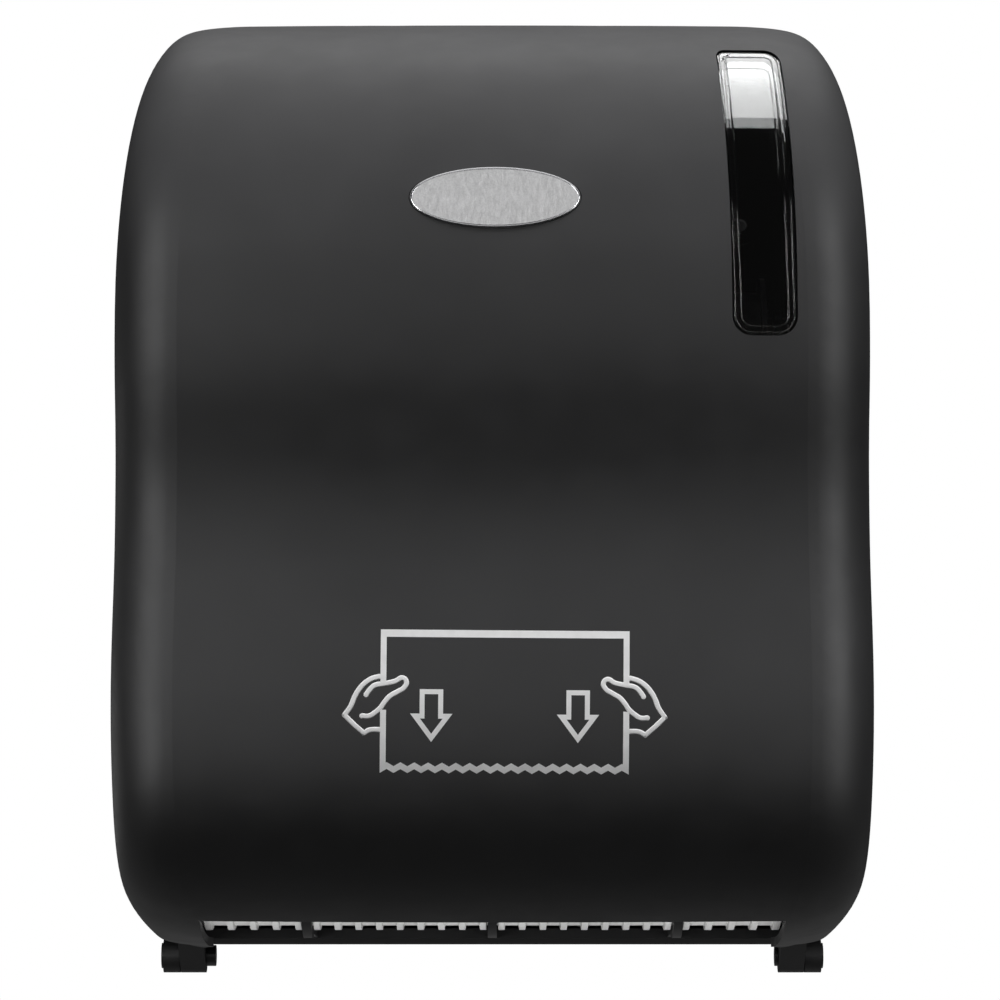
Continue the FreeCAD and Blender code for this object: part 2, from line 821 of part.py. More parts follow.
def flange_screw(x, height):
    """Pan-head screw through a flange into the back plate."""
    face = seat_depth + frame_thickness
    head = stud(x, height, face, face + frame_screw_head_height, frame_screw_head)
    return fused(head, stud(x, height, seat_depth - frame_screw_bite + thread_gap, face, frame_screw_radius))


def flange_screws(places):
    return Part.makeCompound([flange_screw(x, z) for x, z in places])


def frame_outline(inset, x0, x1):
    """Rounded triangle from the drum's bearing to the two feet on the back plate."""
    foot = seat_depth + frame_foot_radius
    circles = [
        (foot, cover_bottom + frame_foot_low, frame_foot_radius - inset),
        (drum_depth, drum_height, frame_drum_radius - inset),
        (foot, cover_bottom + frame_foot_high, frame_foot_radius - inset),
    ]
    return side_belt(circles, x0, x1)


def bail_pivot():
    """Depth and height of the press bail's pivot, behind and below its roller."""
    out_depth, out_height = turned(press_reach, press_angle)
    arm_depth, arm_height = turned(press_arm_length, press_angle + 90)
    return drum_depth + out_depth + arm_depth, drum_height + out_height + arm_height


def side_frame(place, bearing_radius):
    """Side plate with its flange, window and bearing, as if on the right."""
    outer = place + frame_thickness
    plate = frame_outline(0, place, outer)
    low = cover_bottom + frame_foot_low
    high = cover_bottom + frame_foot_high
    flange = block(place, outer + frame_flange, seat_depth, seat_depth + frame_thickness,
                   low - frame_foot_radius / 2, high + frame_foot_radius / 2)
    plate = fused(plate, flange)
    keep = rod(place - overrun, outer + overrun, frame_drum_radius + frame_thickness, drum_depth, drum_height)
    pivot_depth, pivot_height = bail_pivot()
    web = bail_eye_radius + frame_thickness
    keep = fused(keep, side_belt([(seat_depth, pivot_height, web), (pivot_depth, pivot_height, web)],
                                 place - overrun, outer + overrun))
    opening = frame_outline(frame_window_inset, place - overrun, outer + overrun).cut(keep)
    solids = sorted(opening.Solids, key=lambda solid: -solid.Volume)
    plate = plate.cut(solids[0])
    plate = plate.cut(rod(place - overrun, outer + overrun, bearing_radius, drum_depth, drum_height))
    boss = rod(bail_arm_place + bail_arm_thickness + loose_gap, place + frame_thickness / 2,
               bail_tube_radius, pivot_depth, pivot_height)
    hole = rod(bail_arm_place, outer + overrun, bail_pivot_radius + seat_gap / 2, pivot_depth, pivot_height)
    plate = fused(plate, boss).cut(hole)
    for height in (low, high):
        plate = plate.cut(stud(outer + frame_flange / 2, height, 0, cover_depth / 2,
                               frame_screw_radius + screw_gap))
    return plate


def cam_screw_places():
    """Where the cam ring and the left frame share screws."""
    places = []
    for i in range(cam_screw_count):
        out, up = turned(cam_screw_place, cam_lobe_end + cam_ramp + cam_screw_spread * i)
        places.append((drum_depth + out, drum_height + up))
    return places


def lid_tab_places():
    """Where the spring cover's tabs are screwed to the left frame."""
    places = []
    for turn in (-spring_cover_tab_spread, spring_cover_tab_spread):
        out, up = turned(spring_cover_tab_place, turn)
        places.append((drum_depth + out, drum_height + up))
    return places


def bush_radius():
    return shaft_radius + running_gap + bush_wall


def right_side_frame():
    return side_frame(right_frame_place, bush_radius() + seat_gap / 2)


def left_side_frame():
    frame = mirrored(side_frame(left_frame_place, bush_radius() + seat_gap / 2))
    for depth, height in cam_screw_places() + lid_tab_places():
        frame = frame.cut(rod(-left_frame_outer - overrun, -left_frame_place + overrun,
                              small_screw_radius + thread_gap, depth, height))
    anchor = rod(-left_frame_outer - overrun, -left_frame_place + overrun,
                 anchor_radius + seat_gap / 2, anchor_depth, anchor_height)
    return frame.cut(anchor)


def bush(place, side):
    """Flanged bush, its flange outside the frame."""
    outer = place + frame_thickness
    sleeve = rod(place, outer, bush_radius(), drum_depth, drum_height)
    flange = rod(outer, outer + bush_flange, bush_flange_radius, drum_depth, drum_height)
    bore = rod(place - overrun, outer + overrun, shaft_radius + running_gap, drum_depth, drum_height)
    shape = fused(sleeve, flange).cut(bore)
    return shape if side > 0 else mirrored(shape)


def cam_edges(x):
    """Track wall of the cam: a small arc that holds the knife in and a large one that lets it out."""
    dwell = follower_rest() + roller_radius + cam_gap
    lobe = follower_swung() + roller_radius + 2 * cam_gap

    def point(radius, degrees):
        out, up = turned(radius, degrees)
        return at(x, drum_depth + out, drum_height + up)

    start, end = cam_lobe_start, cam_lobe_end
    into, out_of = start - cam_ramp, end + cam_ramp
    far = (into + 360 + out_of) / 2
    return [
        Part.Arc(point(lobe, start), point(lobe, (start + end) / 2), point(lobe, end)).toShape(),
        Part.LineSegment(point(lobe, end), point(dwell, out_of)).toShape(),
        Part.Arc(point(dwell, out_of), point(dwell, far), point(dwell, into)).toShape(),
        Part.LineSegment(point(dwell, into), point(lobe, start)).toShape(),
    ]


def cam_plate():
    inner = left_frame_place - cam_depth
    ring = rod(inner, left_frame_place, cam_outer_radius, drum_depth, drum_height)
    track = Part.Face(Part.Wire(cam_edges(inner - overrun))).extrude(V(cam_depth + 2 * overrun, 0, 0))
    ring = ring.cut(track)
    for depth, height in cam_screw_places():
        ring = ring.cut(rod(inner - overrun, left_frame_place + overrun,
                            small_screw_radius + screw_gap, depth, height))
        ring = ring.cut(rod(inner - overrun, inner + cam_screw_head_height + seat_gap,
                            small_head_radius + screw_gap, depth, height))
    return mirrored(ring)


def cam_screws():
    screws = []
    face = left_frame_place - cam_depth + seat_gap
    for depth, height in cam_screw_places():
        head = rod(face, face + cam_screw_head_height, small_head_radius, depth, height)
        shank = rod(face + cam_screw_head_height, left_frame_outer, small_screw_radius, depth, height)
        screws.append(mirrored(fused(head, shank)))
    return Part.makeCompound(screws)


def spring_anchor():
    """Headed post on the left frame that holds the assist spring's fixed end."""
    body = rod(left_frame_place, spring_plane + spring_eye_thickness, anchor_radius, anchor_depth, anchor_height)
    head = rod(spring_plane + spring_eye_thickness, spring_cover_inner - loose_gap,
               anchor_radius + spring_eye_thickness, anchor_depth, anchor_height)
    collar = rod(left_frame_outer, spring_plane - spring_eye_thickness,
                 anchor_radius + spring_eye_thickness, anchor_depth, anchor_height)
    pilot = rod(lid_face() - lid_screw_length - seat_gap, lid_face(), small_screw_radius + thread_gap,
                anchor_depth, anchor_height)
    return mirrored(fused(body, head, collar).cut(pilot))


def crank_pin_at():
    """Depth and height of the crank pin, which rests nearest the spring's anchor."""
    step_depth, step_height = anchor_depth - drum_depth, anchor_height - drum_height
    share = crank_throw / math.hypot(step_depth, step_height)
    return drum_depth + step_depth * share, drum_height + step_height * share


def spring_cover_belt(grow, x0, x1):
    reach = crank_radius + spring_cover_gap + grow
    circles = [
        (drum_depth, drum_height, reach),
        (anchor_depth, anchor_height, anchor_radius + 2 * spring_eye_thickness + spring_cover_gap + grow),
    ]
    return side_belt(circles, x0, x1)


def lid_face():
    return spring_cover_inner + spring_cover_wall


def spring_cover():
    """Closed lid over crank and spring, screwed on by two tabs and by the anchor's end."""
    rim = left_frame_outer + seat_gap
    lid = spring_cover_belt(spring_cover_wall, rim, lid_face())
    for depth, height in lid_tab_places():
        tab = side_belt([(drum_depth, drum_height, spring_cover_tab_radius),
                         (depth, height, spring_cover_tab_radius)], rim, rim + spring_cover_wall)
        lid = fused(lid, tab)
    lid = lid.cut(spring_cover_belt(0, rim - overrun, spring_cover_inner))
    for depth, height in lid_tab_places() + [(anchor_depth, anchor_height)]:
        lid = lid.cut(rod(rim - overrun, lid_face() + overrun, small_screw_radius + screw_gap, depth, height))
    return mirrored(lid)


def lid_screws():
    screws = []
    tab_face = left_frame_outer + seat_gap + spring_cover_wall
    places = [(tab_face, depth, height) for depth, height in lid_tab_places()]
    for face, depth, height in places + [(lid_face(), anchor_depth, anchor_height)]:
        head = rod(face, face + small_head, small_head_radius, depth, height)
        shank = rod(face - lid_screw_length, face, small_screw_radius, depth, height)
        screws.append(mirrored(fused(head, shank)))
    return Part.makeCompound(screws)


def exit_guide():
    """Rail under the drum with three fingers that lift the towel out of the drum's grooves."""
    bottom = cover_bottom - guide_below_cover
    top = bottom + guide_nose_rise
    rise = cover_bottom + guide_back_rise
    profile = [
        (seat_depth, bottom), (guide_front - guide_floor, bottom), (guide_front, bottom + guide_floor),
        (guide_front, top), (guide_front - guide_nose_wall, top),
        (guide_front - guide_nose_wall, bottom + guide_floor),
        (seat_depth + frame_thickness, bottom + guide_floor), (seat_depth + frame_thickness, rise),
        (seat_depth, rise),
    ]
    rail = side_prism(profile, -guide_half_width, guide_half_width)
    fingers = []
    for place in (-groove_place, 0, groove_place):
        left, right = place - finger_width / 2, place + finger_width / 2
        inner = core_radius + finger_gap
        band = ring_sector(inner, finger_outer, finger_back, finger_front, left, right)
        web_radius = guide_floor / 2
        web_height = drum_height - finger_outer + web_radius
        web = side_belt([(guide_front - guide_nose_wall, bottom + guide_floor + web_radius, web_radius),
                         (finger_root_depth, web_height, web_radius),
                         (guide_front - guide_nose_wall, top - web_radius, web_radius)], left, right)
        fingers += [band, web]
    guide = fused(rail, *fingers)
    for x, z in guide_screw_places():
        guide = guide.cut(stud(x, z, 0, cover_depth / 2, frame_screw_radius + screw_gap))
    return guide


def ring_sector(inner, outer, start, end, x0, x1):
    """Piece of a ring round the drum's axis, from one angle to another."""
    def point(radius, degrees):
        out, up = turned(radius, degrees)
        return at(x0, drum_depth + out, drum_height + up)

    middle = (start + end) / 2
    edges = [
        Part.Arc(point(outer, start), point(outer, middle), point(outer, end)).toShape(),
        Part.LineSegment(point(outer, end), point(inner, end)).toShape(),
        Part.Arc(point(inner, end), point(inner, middle), point(inner, start)).toShape(),
        Part.LineSegment(point(inner, start), point(outer, start)).toShape(),
    ]
    return Part.Face(Part.Wire(edges)).extrude(V(x1 - x0, 0, 0))


def strike():
    """Bracket that the lock's cam turns behind."""
    arm_top = cam_bottom - strike_arm_drop + strike_wall
    arm_bottom = arm_top - strike_wall
    foot = block(strike_near, strike_far, seat_depth, seat_depth + strike_wall,
                 arm_bottom - strike_foot_drop, arm_top)
    arm = block(strike_near, strike_far, seat_depth, strike_hook_depth + strike_wall, arm_bottom, arm_top)
    hook = block(strike_near, strike_far, strike_hook_depth, strike_hook_depth + strike_wall,
                 arm_bottom, cam_top + strike_wall / 2)
    x, z = strike_screw_place()
    bracket = fused(foot, arm, hook)
    return bracket.cut(stud(x, z, 0, seat_depth + overrun, frame_screw_radius + screw_gap))


def strike_screw():
    x, z = strike_screw_place()
    face = seat_depth + strike_wall
    head = stud(x, z, face, face + frame_screw_head_height, frame_screw_head)
    return fused(head, stud(x, z, seat_depth - frame_screw_bite + thread_gap, face, frame_screw_radius))


# Drum, shaft and knife

def drum_at(out, across):
    """Depth and height of a point given from the drum's axis, along and across the slot's radial line."""
    out_depth, out_height = turned(out, slot_turn)
    side_depth, side_height = turned(across, slot_turn + 90)
    return drum_depth + out_depth + side_depth, drum_height + out_height + side_height


def knife_turned(out, across):
    """Place of a knife point after the full swing, from the drum's axis."""
    turn = math.radians(-knife_swing)
    step_out, step_across = out - knife_pivot_out, across - knife_pivot_across
    return (knife_pivot_out + step_out * math.cos(turn) - step_across * math.sin(turn),
            knife_pivot_across + step_out * math.sin(turn) + step_across * math.cos(turn))


def follower_rest():
    return math.hypot(follower_out, follower_across)


def follower_swung():
    return math.hypot(*knife_turned(follower_out, follower_across))


def ring_places():
    """Middle of every rib ring, left to right: each section has a ring at both its ends."""
    inner_start, inner_end = groove_half, groove_place - groove_half
    outer_start, outer_end = groove_place + groove_half, drum_half_length - end_ring_inset
    places = [inner_start + (inner_end - inner_start) * i / (inner_rings - 1) for i in range(inner_rings)]
    places += [outer_start + (outer_end - outer_start) * i / (outer_rings - 1) for i in range(outer_rings)]
    return sorted([-place for place in places] + places)


def shell_profile():
    """Section of the drum's ribbed wall as (x, radius) points."""
    points = [(-drum_half_length, core_radius - core_wall), (-drum_half_length, core_radius)]
    for place in ring_places():
        points += [(place - ring_base / 2, core_radius), (place - ring_tip / 2, rib_ring_radius),
                   (place + ring_tip / 2, rib_ring_radius), (place + ring_base / 2, core_radius)]
    points += [(drum_half_length, core_radius), (drum_half_length, core_radius - core_wall)]
    return points


def drum_boss_at(turn):
    return drum_at(*turned(drum_boss_place, turn))


def drum_shell(start, end, boss_turn):
    """Ribbed wall from one angle to another, measured from the slot's radial line."""
    centre = at(0, drum_depth, drum_height)
    face = polygon([at(x, drum_depth + radius, drum_height) for x, radius in shell_profile()])
    face.rotate(centre, LEFTWARDS, slot_turn + start)
    wall = face.revolve(centre, LEFTWARDS, end - start)
    depth, height = drum_boss_at(boss_turn)
    inner = drum_half_length - cap_spigot - seat_gap
    bosses = []
    for side in (-1, 1):
        outer = side * inner
        far = side * (inner - drum_boss_length)
        boss = rod(min(outer, far), max(outer, far), drum_boss_radius, depth, height)
        bosses.append(boss)
    shell = fused(wall, *bosses)
    for side in (-1, 1):
        near, far = side * (inner - drum_boss_length + drum_boss_floor), side * (inner + overrun)
        shell = shell.cut(rod(min(near, far), max(near, far), small_screw_radius + thread_gap, depth, height))
    return shell


def front_drum_shell():
    return drum_shell(slot_trailing, 180 - shell_seam_gap, drum_boss_turn)


def rear_drum_shell():
    return drum_shell(180 + shell_seam_gap, 360 - slot_leading, 360 - drum_boss_turn)


def drum_cap(side):
    """End of the drum: flange, spigot inside the shells, sunken middle, bearing for the knife."""
    face = cap_face
    inner = drum_half_length - cap_spigot
    flange = rod(drum_half_length, face, core_radius, drum_depth, drum_height)
    spigot = rod(inner, drum_half_length, core_radius - core_wall - seat_gap, drum_depth, drum_height)
    dish = rod(inner + cap_dish_floor, face + overrun, cap_dish_radius, drum_depth, drum_height)
    boss = rod(inner, face, cap_boss_radius, drum_depth, drum_height)
    cap = fused(fused(flange, spigot).cut(dish), boss)
    cap = cap.cut(rod(inner - overrun, face + overrun, shaft_radius + thread_gap, drum_depth, drum_height))
    depth, height = drum_at(knife_pivot_out, knife_pivot_across)
    cap = cap.cut(rod(inner - overrun, face + overrun, knife_shaft_radius + running_gap, depth, height))
    for turn in (drum_boss_turn, -drum_boss_turn):
        depth, height = drum_boss_at(turn)
        cap = cap.cut(rod(inner - overrun, face + overrun, small_screw_radius + screw_gap, depth, height))
        cap = cap.cut(rod(face - small_head - seat_gap, face + overrun, small_head_radius + seat_gap,
                          depth, height))
    if side > 0:
        return cap
    return mirrored(cap)


def drum_screws():
    screws = []
    for turn in (drum_boss_turn, -drum_boss_turn):
        depth, height = drum_boss_at(turn)
        neck = cap_face - small_head - seat_gap
        head = rod(neck, neck + small_head, small_head_radius, depth, height)
        shank = rod(cap_face - small_screw_length, neck, small_screw_radius, depth, height)
        screw = fused(head, shank)
        screws += [screw, mirrored(screw)]
    return Part.makeCompound(screws)


def shaft_ends():
    """Left and right ends of the drum shaft."""
    return -crank_outer, wheel_place + wheel_width + 2 * clip_thickness


def drum_shaft():
    left, right = shaft_ends()
    shaft = rod(-left_frame_outer - bush_flange, wheel_place, shaft_radius, drum_depth, drum_height)
    shaft = fused(shaft, flatted_rod(left, -left_frame_outer, shaft_radius, 0),
                  flatted_rod(wheel_place - seat_gap, right, shaft_radius, 0))
    groove = rod(wheel_place + wheel_width + seat_gap, wheel_place + wheel_width + seat_gap + clip_thickness,
                 shaft_radius + overrun, drum_depth, drum_height)
    core = rod(0, right + overrun, shaft_radius - shaft_flat, drum_depth, drum_height)
    return shaft.cut(groove.cut(core))


def shaft_clip():
    """Spring clip in the shaft's groove, open on one side."""
    inner = wheel_place + wheel_width + seat_gap + thread_gap
    outer = inner + clip_thickness - 2 * thread_gap
    ring = rod(inner, outer, clip_radius, drum_depth, drum_height)
    ring = ring.cut(rod(inner - overrun, outer + overrun, shaft_radius - shaft_flat + thread_gap,
                        drum_depth, drum_height))
    mouth = block(inner - overrun, outer + overrun, drum_depth - shaft_radius / 2, drum_depth + shaft_radius / 2,
                  drum_height - 2 * clip_radius, drum_height)
    return ring.cut(mouth)


def feed_wheel():
    """Scalloped wheel that turns the drum by hand when a new roll is threaded."""
    left, right = wheel_place, wheel_place + wheel_width
    wheel = rod(left, right, wheel_radius, drum_depth, drum_height)
    scallops = []
    for i in range(wheel_scallops):
        out, up = turned(wheel_radius + wheel_scallop_radius / 4, 360 / wheel_scallops * i)
        scallops.append(rod(left - overrun, right + overrun, wheel_scallop_radius,
                            drum_depth + out, drum_height + up))
    wheel = wheel.cut(Part.makeCompound(scallops))
    dish = rod(right - wheel_dish, right + overrun, wheel_dish_radius, drum_depth, drum_height)
    hub = rod(right - wheel_dish, right, wheel_hub_radius, drum_depth, drum_height)
    wheel = fused(wheel.cut(dish), hub)
    return wheel.cut(flatted_rod(left - overrun, right + overrun, shaft_radius, thread_gap))


def crank_disc():
    disc = rod(crank_inner, crank_outer, crank_radius, drum_depth, drum_height)
    disc = mirrored(disc).cut(flatted_rod(-crank_outer - overrun, -crank_inner + overrun, shaft_radius, thread_gap))
    depth, height = crank_pin_at()
    return disc.cut(rod(-crank_outer - overrun, -crank_inner + overrun, crank_pin_radius + thread_gap,
                        depth, height))


def crank_pin():
    depth, height = crank_pin_at()
    outer = spring_plane + spring_eye_thickness
    pin = rod(crank_inner, outer, crank_pin_radius, depth, height)
    collar = rod(crank_outer, spring_plane - spring_eye_thickness, crank_pin_head_radius, depth, height)
    head = rod(outer, outer + crank_pin_head, crank_pin_head_radius, depth, height)
    return mirrored(fused(pin, collar, head))


def drive_spring():
    """Assist spring as the closed body of its turns, with an eye at each end."""
    pin_depth, pin_height = crank_pin_at()
    start, end = at(-spring_plane, pin_depth, pin_height), at(-spring_plane, anchor_depth, anchor_height)
    along = end - start
    length = along.Length
    along.normalize()
    first = start + along * spring_eye_radius
    body = Part.makeCylinder(spring_radius, length - 2 * spring_eye_radius, first, along)
    eyes = []
    half = spring_eye_thickness - thread_gap
    for depth, height in ((pin_depth, pin_height), (anchor_depth, anchor_height)):
        eyes.append(rod(-spring_plane - half, -spring_plane + half, spring_eye_radius + half, depth, height))
    spring = fused(body, *eyes)
    grow = seat_gap
    spring = spring.cut(rod(-spring_plane - overrun, -spring_plane + overrun, crank_pin_radius + grow,
                            pin_depth, pin_height))
    spring = spring.cut(rod(-spring_plane - overrun, -spring_plane + overrun, anchor_radius + grow,
                            anchor_depth, anchor_height))
    room = spring_eye_radius + half + seat_gap
    for depth, height in ((pin_depth, pin_height), (anchor_depth, anchor_height)):
        for side in (-1, 1):
            near = -spring_plane + side * half
            far = near + side * overrun
            spring = spring.cut(rod(min(near, far), max(near, far), room, depth, height))
    return spring


def blade_direction():
    """Unit step from the knife's pivot to the blade's tip, from the slot's radial line."""
    step_out = blade_tip_out - knife_pivot_out
    step_across = blade_tip_across - knife_pivot_across
    length = math.hypot(step_out, step_across)
    return step_out / length, step_across / length, length


def knife_point(along, aside):
    """Place on the knife: along the blade from the pivot, and to the blade's trailing side."""
    dir_out, dir_across, _ = blade_direction()
    return drum_at(knife_pivot_out + along * dir_out - aside * dir_across,
                   knife_pivot_across + along * dir_across + aside * dir_out)


def knife_carrier():
    """Swinging bar that the blade is screwed to, over the full length of the drum."""
    end = drum_half_length - cap_spigot - carrier_end_gap
    depth, height = knife_point(0, 0)
    tip_depth, tip_height = knife_point(carrier_reach, 0)
    body = side_belt([(depth, height, knife_hub_radius), (tip_depth, tip_height, carrier_tip_radius)], -end, end)
    seat_start = carrier_reach - blade_overlap
    room = [knife_point(*p) for p in (
        (seat_start, 0), (carrier_reach + overrun, 0),
        (carrier_reach + overrun, overrun), (seat_start, overrun))]
    body = body.cut(side_prism(room, -end + blade_end_gap - seat_gap, end - blade_end_gap + seat_gap))
    body = body.cut(rod(-end - overrun, end + overrun, knife_shaft_radius + thread_gap, depth, height))
    body = body.cut(rod(end - knife_spring_length - loose_gap, end + overrun,
                        knife_hub_radius + knife_spring_wire, depth, height))
    for place in blade_screw_places():
        body = body.cut(blade_rod(place, -carrier_tip_radius - overrun, overrun, blade_screw_radius + thread_gap))
    return body


def blade_screw_places():
    reach = groove_place + groove_half
    return [-reach + 2 * reach * i / (blade_screws - 1) for i in range(blade_screws)]


def blade_rod(place, low, high, radius):
    """Round body square to the blade, half way along its overlap with the carrier."""
    along = carrier_reach - blade_overlap / 2
    depth0, height0 = knife_point(along, low)
    depth1, height1 = knife_point(along, high)
    start, end = at(place, depth0, height0), at(place, depth1, height1)
    axis = end - start
    return Part.makeCylinder(radius, axis.Length, start, axis)


def knife_blade():
    """Steel strip with a row of teeth along its cutting edge."""
    end = drum_half_length - cap_spigot - carrier_end_gap - blade_end_gap
    _, _, reach = blade_direction()
    start = carrier_reach - blade_overlap + seat_gap
    root = reach - blade_tooth
    pitch = 2 * end / blade_teeth
    low = seat_gap / 2
    outline = [(-end, start), (-end, root)]
    for i in range(blade_teeth):
        outline.append((-end + pitch * (i + half_share), reach))
        outline.append((-end + pitch * (i + 1), root))
    outline.append((end, start))
    points = []
    for x, along in outline:
        depth, height = knife_point(along, low)
        points.append(at(x, depth, height))
    depth0, height0 = knife_point(0, low)
    depth1, height1 = knife_point(0, low + blade_thickness)
    blade = polygon(points).extrude(at(0, depth1 - depth0, height1 - height0))
    for place in blade_screw_places():
        blade = blade.cut(blade_rod(place, -overrun, overrun, blade_screw_radius + seat_gap))
    return blade


def knife_screws():
    screws = []
    face = seat_gap / 2 + blade_thickness
    for place in blade_screw_places():
        head = blade_rod(place, face, face + blade_screw_head_height, blade_screw_head)
        shank = blade_rod(place, -carrier_tip_radius, face, blade_screw_radius)
        screws.append(fused(head, shank))
    return Part.makeCompound(screws)


def knife_shaft():
    """Pivot rod of the knife, through both drum ends and the lever."""
    depth, height = knife_point(0, 0)
    return rod(-cap_face - loose_gap - lever_thickness, cap_face, knife_shaft_radius, depth, height)


def knife_spring():
    """Torsion spring on the knife's shaft that swings the knife out where the cam lets it."""
    depth, height = knife_point(0, 0)
    right = drum_half_length - cap_spigot - carrier_end_gap
    left = right - knife_spring_length
    coil = torsion_coil(left, right, knife_shaft_radius, knife_spring_wire, depth, height)
    middle = knife_shaft_radius + seat_gap + knife_spring_wire / 2
    lean = seat_gap / 2 + blade_thickness + seat_gap + knife_spring_wire / 2
    moving = spring_leg(left + knife_spring_wire, knife_spring_wire,
                        knife_point(0, middle), knife_point(knife_spring_reach, lean))
    # the fixed leg stands on the inside of the rear shell
    pivot = math.hypot(knife_pivot_out, knife_pivot_across)
    out, across = knife_pivot_out / pivot, knife_pivot_across / pivot
    near_out, near_across = knife_pivot_out + across * middle, knife_pivot_across - out * middle
    reach = core_radius - core_wall - pivot - 2 * seat_gap - middle * middle / 2 / core_radius
    fixed = spring_leg(right - knife_spring_wire, knife_spring_wire,
                       drum_at(near_out, near_across),
                       drum_at(near_out + out * reach, near_across + across * reach))
    return fused(coil, moving, fixed)


def knife_lever():
    """Steel lever outside the left drum end that carries the cam follower."""
    depth, height = knife_point(0, 0)
    eye_depth, eye_height = drum_at(follower_out, follower_across)
    inner = cap_face + loose_gap
    circles = [(depth, height, lever_hub_radius), (eye_depth, eye_height, lever_eye_radius)]
    lever = side_belt(circles, -inner - lever_thickness, -inner)
    lever = lever.cut(rod(-inner - overrun, -inner + overrun, knife_shaft_radius + thread_gap, depth, height))
    pin = rod(-inner - lever_thickness - seat_gap - roller_width, -inner - lever_thickness / 2,
              roller_pin_radius, eye_depth, eye_height)
    return fused(lever, pin)


def cam_follower():
    depth, height = drum_at(follower_out, follower_across)
    inner = cap_face + loose_gap + lever_thickness + seat_gap
    roller = rod(-inner - roller_width, -inner, roller_radius, depth, height)
    return roller.cut(rod(-inner - roller_width - overrun, -inner + overrun,
                          roller_pin_radius + running_gap, depth, height))


# Press roller

def press_axis():
    out_depth, out_height = turned(press_reach, press_angle)
    return drum_depth + out_depth, drum_height + out_height


def press_bail():
    """Bar with two arms that swings the press roller against the drum."""
    depth, height = press_axis()
    pivot_depth, pivot_height = bail_pivot()
    circles = [(pivot_depth, pivot_height, bail_eye_radius), (depth, height, bail_eye_radius)]
    arm = side_belt(circles, bail_arm_place, bail_arm_place + bail_arm_thickness)
    tube = rod(-bail_arm_place, bail_arm_place, bail_tube_radius, pivot_depth, pivot_height)
    bail = fused(tube, arm, mirrored(arm))
    outer = bail_arm_place + bail_arm_thickness
    bore = rod(bail_pin_reach - loose_gap, outer + overrun, bail_pivot_radius + running_gap,
               pivot_depth, pivot_height)
    bail = bail.cut(bore).cut(mirrored(bore))
    return bail.cut(rod(-outer - overrun, outer + overrun, press_shaft_radius + running_gap, depth, height))


def bail_spring():
    """Right torsion spring on the bail's tube: one leg on the back plate, one behind the press shaft."""
    depth, height = bail_pivot()
    right = bail_arm_place - loose_gap
    left = right - bail_spring_length
    coil = torsion_coil(left, right, bail_tube_radius, bail_spring_wire, depth, height)
    middle = bail_tube_radius + seat_gap + bail_spring_wire / 2

    def beside(centre, distance, degrees):
        out, up = turned(distance, degrees)
        return centre[0] + out, centre[1] + up

    lean = press_shaft_radius + seat_gap + bail_spring_wire / 2
    moving = spring_leg(right - bail_spring_wire, bail_spring_wire,
                        beside((depth, height), middle, press_angle), beside(press_axis(), lean, press_angle))
    start = beside((depth, height), middle, -90 - bail_spring_rise)
    length = (start[0] - back_thickness - seat_gap - bail_spring_wire / 2) / math.cos(math.radians(bail_spring_rise))
    wall = spring_leg(left + bail_spring_wire, bail_spring_wire,
                      start, beside(start, length, 180 - bail_spring_rise))
    return fused(coil, moving, wall)


def bail_pins():
    pivot_depth, pivot_height = bail_pivot()
    right = rod(bail_pin_reach, right_frame_outer, bail_pivot_radius, pivot_depth, pivot_height)
    left = rod(-left_frame_outer, -bail_pin_reach, bail_pivot_radius, pivot_depth, pivot_height)
    return Part.makeCompound([right, left])


def press_shaft():
    depth, height = press_axis()
    outer = bail_arm_place + bail_arm_thickness
    return rod(-outer, outer, press_shaft_radius, depth, height)


def press_sleeves():
    depth, height = press_axis()
    sleeves = []
    for near, far in sleeve_places:
        sleeve = rod(near, far, sleeve_radius, depth, height)
        sleeve = sleeve.cut(rod(near - overrun, far + overrun, press_shaft_radius + thread_gap, depth, height))
        sleeves += [sleeve, mirrored(sleeve)]
    return Part.makeCompound(sleeves)


# Roll holder

def roll_arm():
    """Right arm: knuckle on its upright pin, dished blade, boss for the hub's axle."""
    inner, outer = holder_place, holder_place + holder_thickness
    circles = [(holder_root_depth, roll_height, holder_root_radius),
               (roll_depth, roll_height, holder_tip_radius)]
    blade = side_belt(circles, inner, outer)
    dish = [(d, z, r - holder_border) for d, z, r in circles]
    blade = blade.cut(side_belt(dish, outer - holder_pocket, outer + overrun))
    half = holder_knuckle_height / 2
    knuckle = post(holder_pin_place, holder_pin_depth, roll_height - half, roll_height + half,
                   holder_knuckle_radius)
    boss = rod(inner - holder_pocket, outer + holder_pocket, holder_boss_radius, roll_depth, roll_height)
    arm = fused(blade, knuckle, boss)
    arm = arm.cut(post(holder_pin_place, holder_pin_depth, roll_height - cover_height, roll_height + cover_height,
                       holder_pin_radius + running_gap))
    return arm.cut(rod(inner - overrun, outer + overrun, hub_axle_radius + running_gap, roll_depth, roll_height))


def holder_pins():
    reach = holder_knuckle_height / 2 + loose_gap + ear_height
    pin = post(holder_pin_place, holder_pin_depth, roll_height - reach, roll_height + reach, holder_pin_radius)
    return both_sides(pin)


